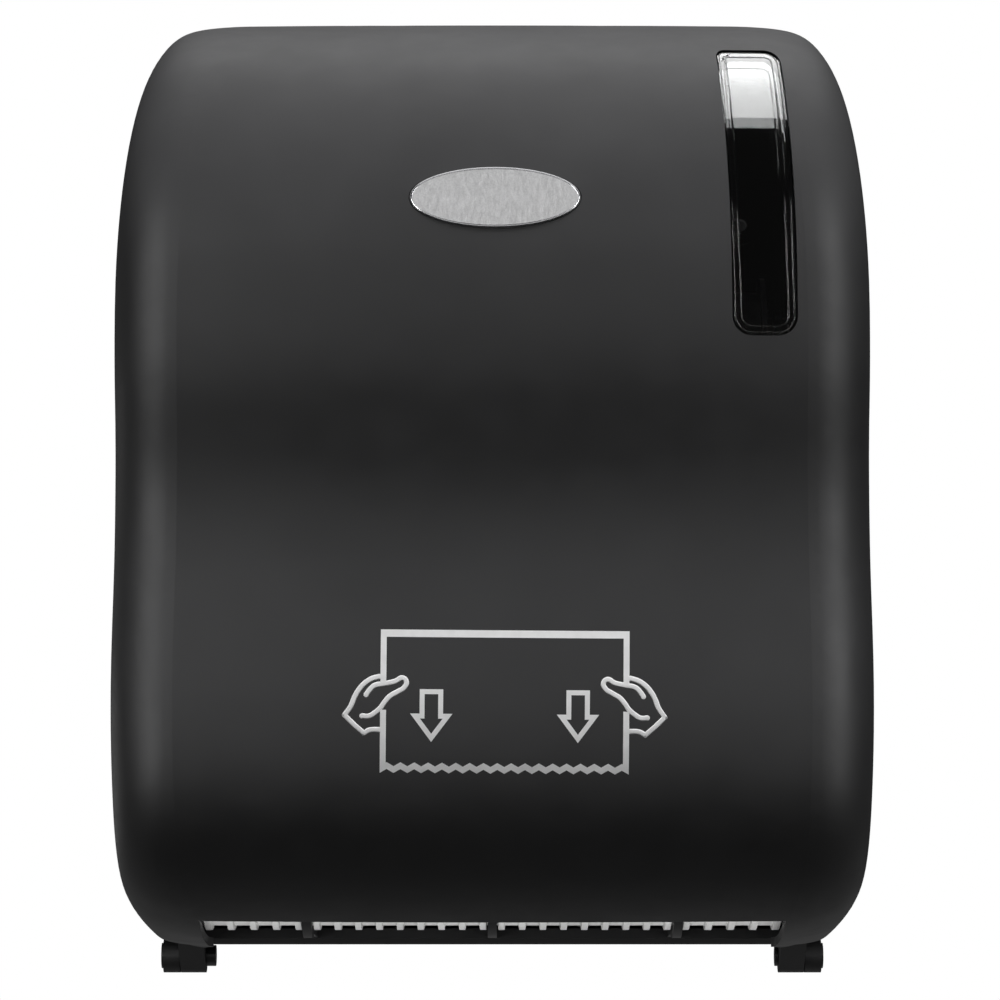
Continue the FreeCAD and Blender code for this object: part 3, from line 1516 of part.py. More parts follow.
def roll_hub():
    """Right hub: hollow plug for the roll's core, flange for the roll's end, axle in the arm."""
    face = roll_half_width + hub_side_gap
    nose = roll_half_width - hub_plug_length
    plug = rod(nose, face, hub_plug_radius, roll_depth, roll_height)
    lead = [edge for edge in plug.Edges if edge.BoundBox.XMax < nose + hub_plug_lead]
    plug = plug.makeChamfer(hub_plug_lead, lead)
    bore = rod(nose - overrun, face - hub_flange, hub_plug_radius - hub_plug_wall - hub_plug_lead / 2,
               roll_depth, roll_height)
    flange = rod(face, face + hub_flange, hub_flange_radius, roll_depth, roll_height)
    axle = rod(face, hub_axle_end(), hub_axle_radius, roll_depth, roll_height)
    groove = rod(hub_clip_place(), hub_clip_place() + clip_thickness, hub_axle_radius + overrun,
                 roll_depth, roll_height)
    neck = rod(face, hub_axle_end() + overrun, hub_axle_radius - shaft_flat, roll_depth, roll_height)
    hub = fused(plug.cut(bore), flange, axle)
    return hub.cut(groove.cut(neck))


def hub_clip_place():
    return holder_place + holder_thickness + holder_pocket + seat_gap


def hub_axle_end():
    return hub_clip_place() + 2 * clip_thickness


def hub_clip():
    inner = hub_clip_place() + thread_gap
    outer = inner + clip_thickness - 2 * thread_gap
    ring = rod(inner, outer, clip_radius, roll_depth, roll_height)
    ring = ring.cut(rod(inner - overrun, outer + overrun, hub_axle_radius - shaft_flat + thread_gap,
                        roll_depth, roll_height))
    mouth = block(inner - overrun, outer + overrun, roll_depth - hub_axle_radius / 2,
                  roll_depth + hub_axle_radius / 2, roll_height - 2 * clip_radius, roll_height)
    return ring.cut(mouth)


def arm_spring():
    """Right leaf spring: a foot on the back plate and a bowed blade that presses the arm inwards."""
    low, high = roll_height - leaf_height / 2, roll_height + leaf_height / 2
    touch = holder_place + holder_thickness + seat_gap
    foot_depth = back_thickness + leaf_thickness
    foot, tip = at(leaf_foot_place, foot_depth, low), at(touch, leaf_touch_depth, low)
    shift = V(leaf_thickness, 0, 0)
    middle = (foot + tip) * half_share + V(leaf_bow, 0, 0)
    edges = [
        Part.Arc(foot, middle, tip).toShape(),
        Part.LineSegment(tip, tip + shift).toShape(),
        Part.Arc(tip + shift, middle + shift, foot + shift).toShape(),
        Part.LineSegment(foot + shift, foot).toShape(),
    ]
    blade = Part.Face(Part.Wire(edges)).extrude(V(0, 0, high - low))
    base = block(leaf_foot_place, leaf_foot_place + leaf_foot_length, back_thickness, foot_depth, low, high)
    return fused(blade, base)


def pieces():
    """Every named piece and its solid or group of solids."""
    return {
        "cover_shell": cover_shell(),
        "window": window(),
        "badge_plate": badge(),
        "lock_barrel": lock_barrel(),
        "lock_nut": lock_nut(),
        "lock_plug": lock_plug(),
        "lock_cam": lock_cam(),
        "lock_screw": lock_screw(),
        "hinge_pin_left": hinge_pin(-1),
        "hinge_pin_right": hinge_pin(1),
        "back_plate": back_plate(),
        "side_frame_left": left_side_frame(),
        "side_frame_right": right_side_frame(),
        "frame_screws": flange_screws(screw_places()),
        "exit_guide": exit_guide(),
        "guide_screws": flange_screws(guide_screw_places()),
        "strike": strike(),
        "strike_screw": strike_screw(),
        "bush_left": bush(left_frame_place, -1),
        "bush_right": bush(right_frame_place, 1),
        "cam_ring": cam_plate(),
        "cam_screws": cam_screws(),
        "spring_anchor": spring_anchor(),
        "drive_spring": drive_spring(),
        "spring_cover": spring_cover(),
        "lid_screws": lid_screws(),
        "drum_shell_front": front_drum_shell(),
        "drum_shell_rear": rear_drum_shell(),
        "drum_cap_left": drum_cap(-1),
        "drum_cap_right": drum_cap(1),
        "drum_screws": drum_screws(),
        "drum_shaft": drum_shaft(),
        "shaft_clip": shaft_clip(),
        "feed_wheel": feed_wheel(),
        "crank_disc": crank_disc(),
        "crank_pin": crank_pin(),
        "knife_carrier": knife_carrier(),
        "knife_blade": knife_blade(),
        "knife_screws": knife_screws(),
        "knife_shaft": knife_shaft(),
        "knife_spring": knife_spring(),
        "knife_lever": knife_lever(),
        "cam_follower": cam_follower(),
        "press_bail": press_bail(),
        "bail_pins": bail_pins(),
        "bail_springs": both_sides(bail_spring()),
        "press_shaft": press_shaft(),
        "press_sleeves": press_sleeves(),
        "roll_arm_left": mirrored(roll_arm()),
        "roll_arm_right": roll_arm(),
        "arm_pins": holder_pins(),
        "arm_spring_left": mirrored(arm_spring()),
        "arm_spring_right": arm_spring(),
        "roll_hub_left": mirrored(roll_hub()),
        "roll_hub_right": roll_hub(),
        "hub_clip_left": mirrored(hub_clip()),
        "hub_clip_right": hub_clip(),
    }


os.makedirs("parts", exist_ok=True)
for name, shape in pieces().items():
    shape.exportStep("parts/" + name + ".step")
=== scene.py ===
import json
import math

import bmesh
import bpy
from mathutils import Matrix, Vector
from mathutils.bvhtree import BVHTree


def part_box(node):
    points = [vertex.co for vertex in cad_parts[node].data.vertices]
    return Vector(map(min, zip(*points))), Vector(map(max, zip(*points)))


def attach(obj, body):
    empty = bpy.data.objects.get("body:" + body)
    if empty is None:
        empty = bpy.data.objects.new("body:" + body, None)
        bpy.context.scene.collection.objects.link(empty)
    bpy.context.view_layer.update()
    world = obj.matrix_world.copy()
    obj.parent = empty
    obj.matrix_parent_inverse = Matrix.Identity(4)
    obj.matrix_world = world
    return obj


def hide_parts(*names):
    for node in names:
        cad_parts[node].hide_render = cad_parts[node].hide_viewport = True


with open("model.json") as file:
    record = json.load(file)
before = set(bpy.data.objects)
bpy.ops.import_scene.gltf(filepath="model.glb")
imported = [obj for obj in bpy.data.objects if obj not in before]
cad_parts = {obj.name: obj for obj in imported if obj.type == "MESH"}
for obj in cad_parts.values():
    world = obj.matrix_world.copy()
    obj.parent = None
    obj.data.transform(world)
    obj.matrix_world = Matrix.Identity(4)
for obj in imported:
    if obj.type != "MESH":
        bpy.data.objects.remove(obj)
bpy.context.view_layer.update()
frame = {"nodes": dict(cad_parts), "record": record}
MM = 0.001


# Camera: straight on, level with the middle of the wall screws
CAMERA_DISTANCE = 1.700
CAMERA_SENSOR = 36.0
CAMERA_LENS = 151.3
CAMERA_SHIFT = 0.0077

# World and floor: white where the camera looks, dim in mirrors, in shade and through holes to the wall
PAGE_TONE = 1.0
MIRRORED_TONE = 0.06
ROOM_TONE = 0.05
WALL_TONE = 0.006
FLOOR_TONE = 0.85
FLOOR_SHADE = 0.07
FLOOR_CENTRE = (0, -0.1, -0.55)
FLOOR_RADIUS = 1.6

# Printed sign on the cover's front, in millimetres across and up
SIGN_CENTRE = (4.4, -71.4)
SIGN_TILT = 0.45
SIGN_WIDTH = 88.0
SIGN_HEIGHT = 50.6
SIGN_LINE = 2.1
SIGN_TOP_LINE = 0.5
SIGN_TEETH = 18
SIGN_TOOTH = 1.4
THUMB_SPAN = (-1.6, 6.6)
HAND_LINE = 1.9
INK_RISE = 0.07
INK_CELL = 3.0

# Arrows of the sign: line width, place of the shaft's top from the sign's middle, then corners from there
ARROW_LINE = 1.75
ARROW_PLACE = 25.9
ARROW_TOP = 4.4
ARROW_SHAFT = 4.15
ARROW_HEAD = 7.5
ARROW_SHOULDER = -8.6
ARROW_TIP = -18.6

# Left hand of the sign, stroke by stroke
HAND_STROKES = [
    [(-44.4, 8.7), (-47.3, 7.8), (-49.9, 6.0), (-51.9, 3.6), (-53.2, 1.2), (-54.4, -1.8), (-56.6, -5.0)],
    [(-56.6, -5.0), (-53.2, -8.3), (-49.7, -11.3)],
    [(-49.7, -11.3), (-47.7, -10.2), (-44.4, -10.0)],
    [(-49.0, 2.3), (-48.1, 3.6), (-46.1, 5.5), (-42.7, 6.2), (-38.7, 7.1), (-36.2, 8.3), (-34.8, 6.9),
     (-35.6, 4.9), (-37.9, 3.4), (-40.6, 1.8), (-42.4, -0.2), (-43.8, -2.2), (-45.7, -3.9), (-48.1, -5.3),
     (-50.4, -5.2)],
]

# Oval badge plate: polished edge round the satin face, its section in shares of its width and its rise
BADGE_EDGE = 0.75
BADGE_EDGE_RISE = 0.16
BADGE_SECTION = [(0.06, -0.1), (0.12, 0.6), (0.5, 1.0), (0.88, 0.6), (1.0, -0.1)]
BADGE_STEPS = 144

# Beads on the window: its outline across and up, then where the beads lie inside it
WINDOW_CORNERS = [(85.3, 58.6), (107.4, 58.6), (104.0, 163.8), (81.9, 163.8)]
WINDOW_ROUNDING = [6.4, 6.4, 5.4, 2.4]
BEAD_INSETS = (0.25, 2.4)
BEAD_WIDTH = 0.6
BEAD_RISE = 0.2

# Sides of the window's outline longer than this are cut, so that the beads bend with the window
LONG_SIDE = 10.0
SIDE_CUTS = 36

# Screws that get a cross recess: the body they ride on and the axis they lie along
CROSSED_SCREWS = {
    "frame_screws": ("chassis", "Y"),
    "guide_screws": ("chassis", "Y"),
    "strike_screw": ("chassis", "Y"),
    "cam_screws": ("chassis", "X"),
    "lid_screws": ("chassis", "X"),
    "drum_screws": ("drum", "X"),
}

# Screw heads: dome and recess depth in shares of the head's height, recess in shares of its radius
HEAD_DOME = 0.35
RECESS_DEPTH = 0.5
RECESS_HALF = 0.13
RECESS_REACH = 0.55
RECESS_TAPER = 0.8
TIP_SHARE = 0.3

# Reading a plain screw: from which share of its radius and of its half length rim and far end count
RIM_SHARE = 0.95
END_SHARE = 0.9

# How near counts as the same line of the sign and as the same point of a screw, in millimetres
SAME_LINE = 0.1
SAME_POINT = 0.001

# Between these two values most of a noise pattern lies
NOISE_LOW = 0.3
NOISE_HIGH = 0.7


# Finishes

def finish(name):
    """New material with its node tree and its main shader."""
    material = bpy.data.materials.new(name)
    material.use_nodes = True
    tree = material.node_tree
    return material, tree, tree.nodes["Principled BSDF"]


def add_node(tree, kind, values=None, **settings):
    """New node with its settings and the values of its unlinked sockets."""
    made = tree.nodes.new(kind)
    for key, value in settings.items():
        setattr(made, key, value)
    for socket, value in (values or {}).items():
        made.inputs[socket].default_value = value
    return made


def pattern(tree, scale, stretch=(1, 1, 1), detail=3.0, roughness=0.55):
    """Noise in the object's own space, stretched along its grain."""
    place = add_node(tree, "ShaderNodeTexCoord")
    mapping = add_node(tree, "ShaderNodeMapping", {"Scale": stretch})
    noise = add_node(tree, "ShaderNodeTexNoise", {"Scale": scale, "Detail": detail, "Roughness": roughness})
    tree.links.new(place.outputs["Object"], mapping.inputs["Vector"])
    tree.links.new(mapping.outputs["Vector"], noise.inputs["Vector"])
    return noise.outputs["Fac"]


def spread(tree, source, low, high):
    """A pattern's values spread between two numbers."""
    ranged = add_node(tree, "ShaderNodeMapRange",
                      {"From Min": NOISE_LOW, "From Max": NOISE_HIGH, "To Min": low, "To Max": high})
    tree.links.new(source, ranged.inputs["Value"])
    return ranged.outputs["Result"]


def tint(tree, source, dark, light, start=NOISE_LOW, end=NOISE_HIGH):
    """A pattern's values turned into shades between two colours."""
    ramp = add_node(tree, "ShaderNodeValToRGB")
    ramp.color_ramp.elements[0].position = start
    ramp.color_ramp.elements[1].position = end
    ramp.color_ramp.elements[0].color = (*dark, 1)
    ramp.color_ramp.elements[1].color = (*light, 1)
    tree.links.new(source, ramp.inputs["Fac"])
    return ramp.outputs["Color"]


def relief(tree, shader, source, strength, height):
    """A pattern raised from the surface by a height in metres."""
    bump = add_node(tree, "ShaderNodeBump", {"Strength": strength, "Distance": height})
    tree.links.new(source, bump.inputs["Height"])
    tree.links.new(bump.outputs["Normal"], shader.inputs["Normal"])


def shade(colour, factor):
    return tuple(channel * factor for channel in colour)


def grey(tone):
    return (tone, tone, tone, 1)


def moulded_plastic(name, colour, roughness, specular=0.35):
    """Spark-finished moulding: fine even grain, faint clouding from the tool."""
    material, tree, shader = finish(name)
    clouds = pattern(tree, 22, detail=2)
    tree.links.new(tint(tree, clouds, shade(colour, 0.92), shade(colour, 1.08)), shader.inputs["Base Color"])
    tree.links.new(spread(tree, pattern(tree, 60), roughness - 0.03, roughness + 0.04),
                   shader.inputs["Roughness"])
    relief(tree, shader, pattern(tree, 1500, detail=2), 0.35, 0.00004)
    shader.inputs["Specular IOR Level"].default_value = specular
    return material


def clear_plastic(name):
    """Polished clear moulding with the slightest haze."""
    material, tree, shader = finish(name)
    tree.links.new(spread(tree, pattern(tree, 35), 0.015, 0.045), shader.inputs["Roughness"])
    relief(tree, shader, pattern(tree, 14, detail=1), 0.05, 0.0004)
    shader.inputs["Base Color"].default_value = (0.93, 0.95, 0.95, 1)
    shader.inputs["Transmission Weight"].default_value = 1
    shader.inputs["IOR"].default_value = 1.49
    return material


def worked_metal(name, colour, roughness, stretch):
    """Metal with the fine lines of drawing, turning or brushing along one direction."""
    material, tree, shader = finish(name)
    lines = pattern(tree, 900, stretch, detail=4)
    tree.links.new(tint(tree, lines, shade(colour, 0.86), colour), shader.inputs["Base Color"])
    tree.links.new(spread(tree, lines, roughness - 0.06, roughness + 0.08), shader.inputs["Roughness"])
    relief(tree, shader, lines, 0.3, 0.00001)
    shader.inputs["Metallic"].default_value = 1
    return material


def silver_plate(name):
    """Silver-faced plate: fine sparkle under a satin lacquer."""
    material, tree, shader = finish(name)
    sparkle = pattern(tree, 1700, detail=2, roughness=0.7)
    tree.links.new(tint(tree, sparkle, (0.56, 0.56, 0.565), (0.68, 0.68, 0.685), 0.35, 0.65),
                   shader.inputs["Base Color"])
    tree.links.new(spread(tree, pattern(tree, 900, (1, 1, 0.1)), 0.34, 0.5), shader.inputs["Roughness"])
    relief(tree, shader, sparkle, 0.25, 0.00001)
    shader.inputs["Metallic"].default_value = 0.55
    return material


def bright_plating(name):
    """Polished plating with a faint haze."""
    material, tree, shader = finish(name)
    haze = pattern(tree, 120)
    tree.links.new(spread(tree, haze, 0.06, 0.14), shader.inputs["Roughness"])
    tree.links.new(tint(tree, haze, (0.74, 0.75, 0.77), (0.82, 0.82, 0.84)), shader.inputs["Base Color"])
    shader.inputs["Metallic"].default_value = 1
    return material


def ground_rubber(name):
    """Rubber sleeve ground round, with its crumbly surface."""
    material, tree, shader = finish(name)
    crumbs = pattern(tree, 700, (0.4, 1, 1), detail=5)
    tree.links.new(tint(tree, crumbs, (0.035, 0.035, 0.037), (0.07, 0.07, 0.072)),
                   shader.inputs["Base Color"])
    tree.links.new(spread(tree, crumbs, 0.72, 0.9), shader.inputs["Roughness"])
    relief(tree, shader, crumbs, 0.5, 0.00008)
    shader.inputs["Specular IOR Level"].default_value = 0.3
    return material


def sign_ink(name):
    """White pad-printed ink, slightly uneven where the pad pressed it on."""
    material, tree, shader = finish(name)
    press = pattern(tree, 260)
    tree.links.new(tint(tree, press, (0.86, 0.86, 0.86), (0.93, 0.93, 0.93)), shader.inputs["Base Color"])
    tree.links.new(spread(tree, press, 0.4, 0.5), shader.inputs["Roughness"])
    relief(tree, shader, pattern(tree, 1200), 0.2, 0.00001)
    return material


FINISHES = {
    "cover_black": moulded_plastic("cover_moulding", (0.034, 0.034, 0.035), 0.5, 0.25),
    "chassis_black": moulded_plastic("chassis_moulding", (0.022, 0.022, 0.023), 0.5),
    "window_clear": clear_plastic("window_plastic"),
    "badge_silver": silver_plate("badge_face"),
    "drum_grey": moulded_plastic("drum_moulding", (0.70, 0.70, 0.69), 0.42, 0.5),
    "moving_grey": moulded_plastic("inner_moulding", (0.045, 0.046, 0.049), 0.42, 0.5),
    "wheel_blue": moulded_plastic("wheel_moulding", (0.06, 0.20, 0.42), 0.38, 0.5),
    "spring_steel": worked_metal("spring_wire", (0.50, 0.50, 0.51), 0.32, (1, 1, 0.1)),
    "zinc_steel": worked_metal("zinc_plating", (0.62, 0.63, 0.64), 0.3, (0.06, 1, 1)),
    "blade_steel": worked_metal("ground_blade", (0.68, 0.69, 0.70), 0.22, (1, 0.05, 0.05)),
    "press_rubber": ground_rubber("roller_rubber"),
    "bearing_white": moulded_plastic("bearing_moulding", (0.76, 0.76, 0.73), 0.35, 0.5),
    "lock_chrome": bright_plating("lock_plating"),
    "pin_black": moulded_plastic("pin_moulding", (0.028, 0.028, 0.029), 0.36, 0.5),
}


def dress_nodes():
    """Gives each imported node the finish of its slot."""
    for part in frame["record"]["subparts"]:
        node_object = frame["nodes"][part["node"]]
        node_object.data.materials.clear()
        node_object.data.materials.append(FINISHES[part["material_slot"]])


# Small helpers for new pieces

def of_kind(geometry, kind):
    return [item for item in geometry if isinstance(item, kind)]


def mesh_of(bm, name):
    """Mesh with the shape of a bmesh, which is freed."""
    mesh = bpy.data.meshes.new(name)
    bm.to_mesh(mesh)
    bm.free()
    return mesh


def in_scene(name, data):
    """New object in the scene, at the origin."""
    made = bpy.data.objects.new(name, data)
    bpy.context.scene.collection.objects.link(made)
    return made


def piece_from(bm, name, body, material):
    """New piece that rides on a body of the frame."""
    made = in_scene(name, mesh_of(bm, name))
    made.data.materials.append(material)
    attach(made, body)
    return made


def inset(bm, face, width):
    """Draws a face in by a width in millimetres and leaves a border of new faces round it."""
    bmesh.ops.inset_individual(bm, faces=[face], thickness=width * MM, use_even_offset=True)


def turn_to_room(bm):
    """Turns the faces of a flat drawing towards the room."""
    for face in bm.faces:
        if face.normal.y > 0:
            face.normal_flip()


def lay_on(bm, node, across=0.0, up=0.0):
    """Moves a flat drawing to its place and lays it on the front of a node; its relief stays."""
    packed = bmesh.new()
    packed.from_mesh(frame["nodes"][node].data)
    front = BVHTree.FromBMesh(packed)
    packed.free()
    for vertex in bm.verts:
        x, z = vertex.co.x + across, vertex.co.z + up
        hit = front.ray_cast(Vector((x, -CAMERA_DISTANCE, z)), Vector((0, 1, 0)))[0]
        vertex.co = Vector((x, hit.y + vertex.co.y, z))


def carried_on(bm, edges):
    """Extrudes a loop of edges where it stands, and gives the new loop's vertices and edges."""
    made = bmesh.ops.extrude_edge_only(bm, edges=edges)["geom"]
    return of_kind(made, bmesh.types.BMVert), of_kind(made, bmesh.types.BMEdge)


# Printed sign

def drawn_outline(bm, points, line):
    """Drawn line of one width inside a closed outline of (across, up) points in millimetres."""
    vertices = [bm.verts.new((x * MM, 0, z * MM)) for x, z in points]
    face = bm.faces.new(vertices)
    face.normal_update()
    inset(bm, face, line)
    bmesh.ops.delete(bm, geom=[face], context="FACES")


def sheet_points():
    """Sheet of towel: square top, torn lower edge."""
    left, right = -SIGN_WIDTH / 2, SIGN_WIDTH / 2
    top, bottom = SIGN_HEIGHT / 2, -SIGN_HEIGHT / 2
    points = [(left, top), (left, bottom)]
    pitch = SIGN_WIDTH / SIGN_TEETH
    for i in range(SIGN_TEETH):
        points.append((left + pitch * (i + 0.5), bottom + SIGN_TOOTH))
        points.append((left + pitch * (i + 1), bottom))
    points.append((right, top))
    return points


def thicken_top(bm):
    """Moves the inner corners of the sheet's top line down, since it is drawn bolder."""
    inner = (SIGN_HEIGHT / 2 - SIGN_LINE) * MM
    for vertex in bm.verts:
        if abs(vertex.co.z - inner) < SAME_LINE * MM:
            vertex.co.z -= SIGN_TOP_LINE * MM


def arrow_points(place):
    """Arrow that points down, at a place across the sheet."""
    corners = [(-ARROW_SHAFT, 0), (-ARROW_SHAFT, ARROW_SHOULDER), (-ARROW_HEAD, ARROW_SHOULDER),
               (0, ARROW_TIP), (ARROW_HEAD, ARROW_SHOULDER), (ARROW_SHAFT, ARROW_SHOULDER), (ARROW_SHAFT, 0)]
    return [(place + x, ARROW_TOP + z) for x, z in corners]


def hand_line(points):
    """Line along a smooth curve through a hand's points, as a mesh."""
    curve = bpy.data.curves.new("hand_curve", "CURVE")
    curve.dimensions = "3D"
    curve.bevel_depth = HAND_LINE / 2 * MM
    curve.bevel_resolution = 3
    curve.resolution_u = 6
    curve.use_fill_caps = True
    spline = curve.splines.new("BEZIER")
    spline.bezier_points.add(len(points) - 1)
    for point, (x, z) in zip(spline.bezier_points, points):
        point.co = (x * MM, 0, z * MM)
        point.handle_left_type = "AUTO"
        point.handle_right_type = "AUTO"
    carrier = bpy.data.objects.new("hand_curve", curve)
    mesh = bpy.data.meshes.new_from_object(carrier)
    bpy.data.objects.remove(carrier)
    return mesh


def add_hands(bm):
    """Both hands: round-ended lines, pressed as flat as ink."""
    drawn = bmesh.new()
    for points in HAND_STROKES:
        drawn.from_mesh(hand_line(points))
        for x, z in (points[0], points[-1]):
            ball = bmesh.ops.create_icosphere(drawn, subdivisions=2, radius=HAND_LINE / 2 * MM)
            bmesh.ops.translate(drawn, verts=ball["verts"], vec=(x * MM, 0, z * MM))
    for vertex in drawn.verts:
        vertex.co.y *= INK_RISE / (HAND_LINE / 2)
    mirrored = bmesh.ops.duplicate(drawn, geom=drawn.verts[:] + drawn.edges[:] + drawn.faces[:])["geom"]
    bmesh.ops.scale(drawn, verts=of_kind(mirrored, bmesh.types.BMVert), vec=(-1, 1, 1))
    bmesh.ops.recalc_face_normals(drawn, faces=drawn.faces[:])
    bm.from_mesh(mesh_of(drawn, "hands"))


def behind_thumb(face):
    """Whether a face of the sheet's side line is hidden by a thumb."""
    centre = face.calc_center_median()
    low, high = THUMB_SPAN
    return abs(centre.x) > (SIGN_WIDTH / 2 - SIGN_LINE) * MM and low * MM < centre.z < high * MM


def cut_into_cells(bm):
    """Cuts long faces, so that they bend with the cover."""
    for axis, reach in ((Vector((1, 0, 0)), SIGN_WIDTH), (Vector((0, 0, 1)), SIGN_HEIGHT)):
        count = math.ceil(reach / 2 / INK_CELL)
        for i in range(-count, count + 1):
            bmesh.ops.bisect_plane(bm, geom=bm.verts[:] + bm.edges[:] + bm.faces[:],
                                   plane_co=axis * i * INK_CELL * MM, plane_no=axis)


def towel_sign():
    """Printed sign: a sheet pulled down with both hands."""
    bm = bmesh.new()
    drawn_outline(bm, sheet_points(), SIGN_LINE)
    thicken_top(bm)
    drawn_outline(bm, arrow_points(-ARROW_PLACE), ARROW_LINE)
    drawn_outline(bm, arrow_points(ARROW_PLACE), ARROW_LINE)
    cut_into_cells(bm)
    hidden = [face for face in bm.faces if behind_thumb(face)]
    bmesh.ops.delete(bm, geom=hidden, context="FACES")
    turn_to_room(bm)
    bmesh.ops.solidify(bm, geom=bm.faces[:], thickness=2 * INK_RISE * MM)
    bmesh.ops.translate(bm, verts=bm.verts, vec=(0, -INK_RISE * MM, 0))
    add_hands(bm)
    bmesh.ops.rotate(bm, verts=bm.verts, matrix=Matrix.Rotation(math.radians(SIGN_TILT), 3, "Y"))
    lay_on(bm, "cover_shell", SIGN_CENTRE[0] * MM, SIGN_CENTRE[1] * MM)
    piece_from(bm, "towel_sign", "cover", sign_ink("sign_ink"))


# Badge and window trim

def badge_edge():
    """Polished edge round the badge's satin face, a crowned ring laid on the plate."""
    low, high = (Vector(corner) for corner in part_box("badge_plate"))
    centre = (low + high) / 2
    half_width, half_height = (high.x - low.x) / 2, (high.z - low.z) / 2
    sections = [(1, 1, 0)]
    for share, rise in BADGE_SECTION:
        drawn_in = share * BADGE_EDGE * MM
        sections.append((half_width - drawn_in, half_height - drawn_in, rise * BADGE_EDGE_RISE * MM))
    bm = bmesh.new()
    ring = bmesh.ops.create_circle(bm, segments=BADGE_STEPS, radius=1)["verts"]
    bmesh.ops.rotate(bm, verts=ring, matrix=Matrix.Rotation(math.pi / 2, 3, "X"))
    edges = bm.edges[:]
    loops = []
    for before, now in zip(sections, sections[1:]):
        if loops:
            ring, edges = carried_on(bm, edges)
        bmesh.ops.scale(bm, verts=ring, vec=(now[0] / before[0], 1, now[1] / before[1]))
        bmesh.ops.translate(bm, verts=ring, vec=(0, before[2] - now[2], 0))
        loops.append(edges)
    bmesh.ops.bridge_loops(bm, edges=loops[0] + loops[-1])
    lay_on(bm, "badge_plate", centre.x, centre.z)
    bmesh.ops.recalc_face_normals(bm, faces=bm.faces[:])
    for face in bm.faces:
        face.smooth = True
    piece_from(bm, "badge_edge", "cover", FINISHES["lock_chrome"])


def bead(place):
    """One bead: a strip this far inside the window's outline, raised along its middle, as a mesh."""
    bm = bmesh.new()
    corners = [bm.verts.new((x * MM, 0, z * MM)) for x, z in WINDOW_CORNERS]
    bm.faces.new(corners)
    for corner, rounding in zip(corners, WINDOW_ROUNDING):
        bmesh.ops.bevel(bm, geom=[corner], offset=rounding * MM, segments=8, profile=0.5,
                        affect="VERTICES")
    sides = [edge for edge in bm.edges if edge.calc_length() > LONG_SIDE * MM]
    bmesh.ops.bisect_edges(bm, edges=sides, cuts=SIDE_CUTS)
    face = bm.faces[:][0]
    inset(bm, face, place)
    around = [other for other in bm.faces if other is not face]
    bmesh.ops.delete(bm, geom=around, context="FACES")
    inset(bm, face, BEAD_WIDTH / 2)
    crown = face.verts[:]
    inset(bm, face, BEAD_WIDTH / 2)
    bmesh.ops.delete(bm, geom=[face], context="FACES")
    bmesh.ops.translate(bm, verts=crown, vec=(0, -BEAD_RISE * MM, 0))
    return mesh_of(bm, "window_bead")


def window_beads():
    """Polished beads along the window's border and along the edge of its raised middle."""
    bm = bmesh.new()
    for place in BEAD_INSETS:
        bm.from_mesh(bead(place))
    turn_to_room(bm)
    lay_on(bm, "window")
    for face in bm.faces:
        face.smooth = True
    piece_from(bm, "window_beads", "cover", FINISHES["window_clear"])


# Screw heads

def separate_bodies(node):
    """The corners of each closed body in a node."""
    bm = bmesh.new()
    bm.from_mesh(frame["nodes"][node].data)
    bmesh.ops.remove_doubles(bm, verts=bm.verts[:], dist=SAME_POINT * MM)
    bodies = []
    seen = set()
    for start in bm.verts:
        if start in seen:
            continue
        seen.add(start)
        corners = []
        border = [start]
        while border:
            vertex = border.pop()
            corners.append(vertex.co.copy())
            for edge in vertex.link_edges:
                other = edge.other_vert(vertex)
                if other not in seen:
                    seen.add(other)
                    border.append(other)
        bodies.append(corners)
    bm.free()
    return bodies


def screw_sizes(corners, axis):
    """A plain screw's place at the top of its head, which way it faces, and its four sizes."""
    step = Vector([float(axis == name) for name in "XYZ"])
    low = Vector([min(corner[i] for corner in corners) for i in range(3)])
    high = Vector([max(corner[i] for corner in corners) for i in range(3)])
    middle = (low + high) / 2
    places = []
    for corner in corners:
        along = (corner - middle).dot(step)
        places.append((along, (corner - middle - step * along).length))
    head_radius = max(away for along, away in places)
    head = [along for along, away in places if away > RIM_SHARE * head_radius]
    facing = 1 if sum(head) > 0 else -1
    half = (high - low).dot(step) / 2
    shank_radius = max(away for along, away in places if along * facing < -END_SHARE * half)
    top = middle + step * facing * half
    return top, step * facing, head_radius, max(head) - min(head), shank_radius, 2 * half


def recessed_head(bm, radius, height):
    """Makes a screw head's domed face with its cross recess, and gives the edges of its rim."""
    bmesh.ops.create_grid(bm, x_segments=5, y_segments=5, size=1)
    # The grid's lines by their distance from the middle, and where each goes
    moved_lines = {0.2: RECESS_HALF, 0.6: RECESS_REACH, 1.0: 1.0}
    for vertex in bm.verts:
        for i in range(2):
            line = round(abs(vertex.co[i]), 1)
            vertex.co[i] = math.copysign(moved_lines[line], vertex.co[i])
        if max(abs(vertex.co.x), abs(vertex.co.y)) == 1:
            vertex.co.normalize()
        vertex.co.z = -HEAD_DOME * height / radius * vertex.co.xy.length ** 2
    bmesh.ops.scale(bm, verts=bm.verts, vec=(radius, radius, radius))
    cross = []
    for face in bm.faces:
        centre = face.calc_center_median()
        near, far = sorted((abs(centre.x), abs(centre.y)))
        if near < RECESS_HALF * radius and far < RECESS_REACH * radius:
            cross.append(face)
    rim = [edge for edge in bm.edges if edge.is_boundary]
    floor = of_kind(bmesh.ops.extrude_face_region(bm, geom=cross)["geom"], bmesh.types.BMVert)
    bmesh.ops.delete(bm, geom=cross, context="FACES_ONLY")
    bmesh.ops.translate(bm, verts=floor, vec=(0, 0, -RECESS_DEPTH * height))
    bmesh.ops.scale(bm, verts=floor, vec=(RECESS_TAPER, RECESS_TAPER, 1))
    return rim


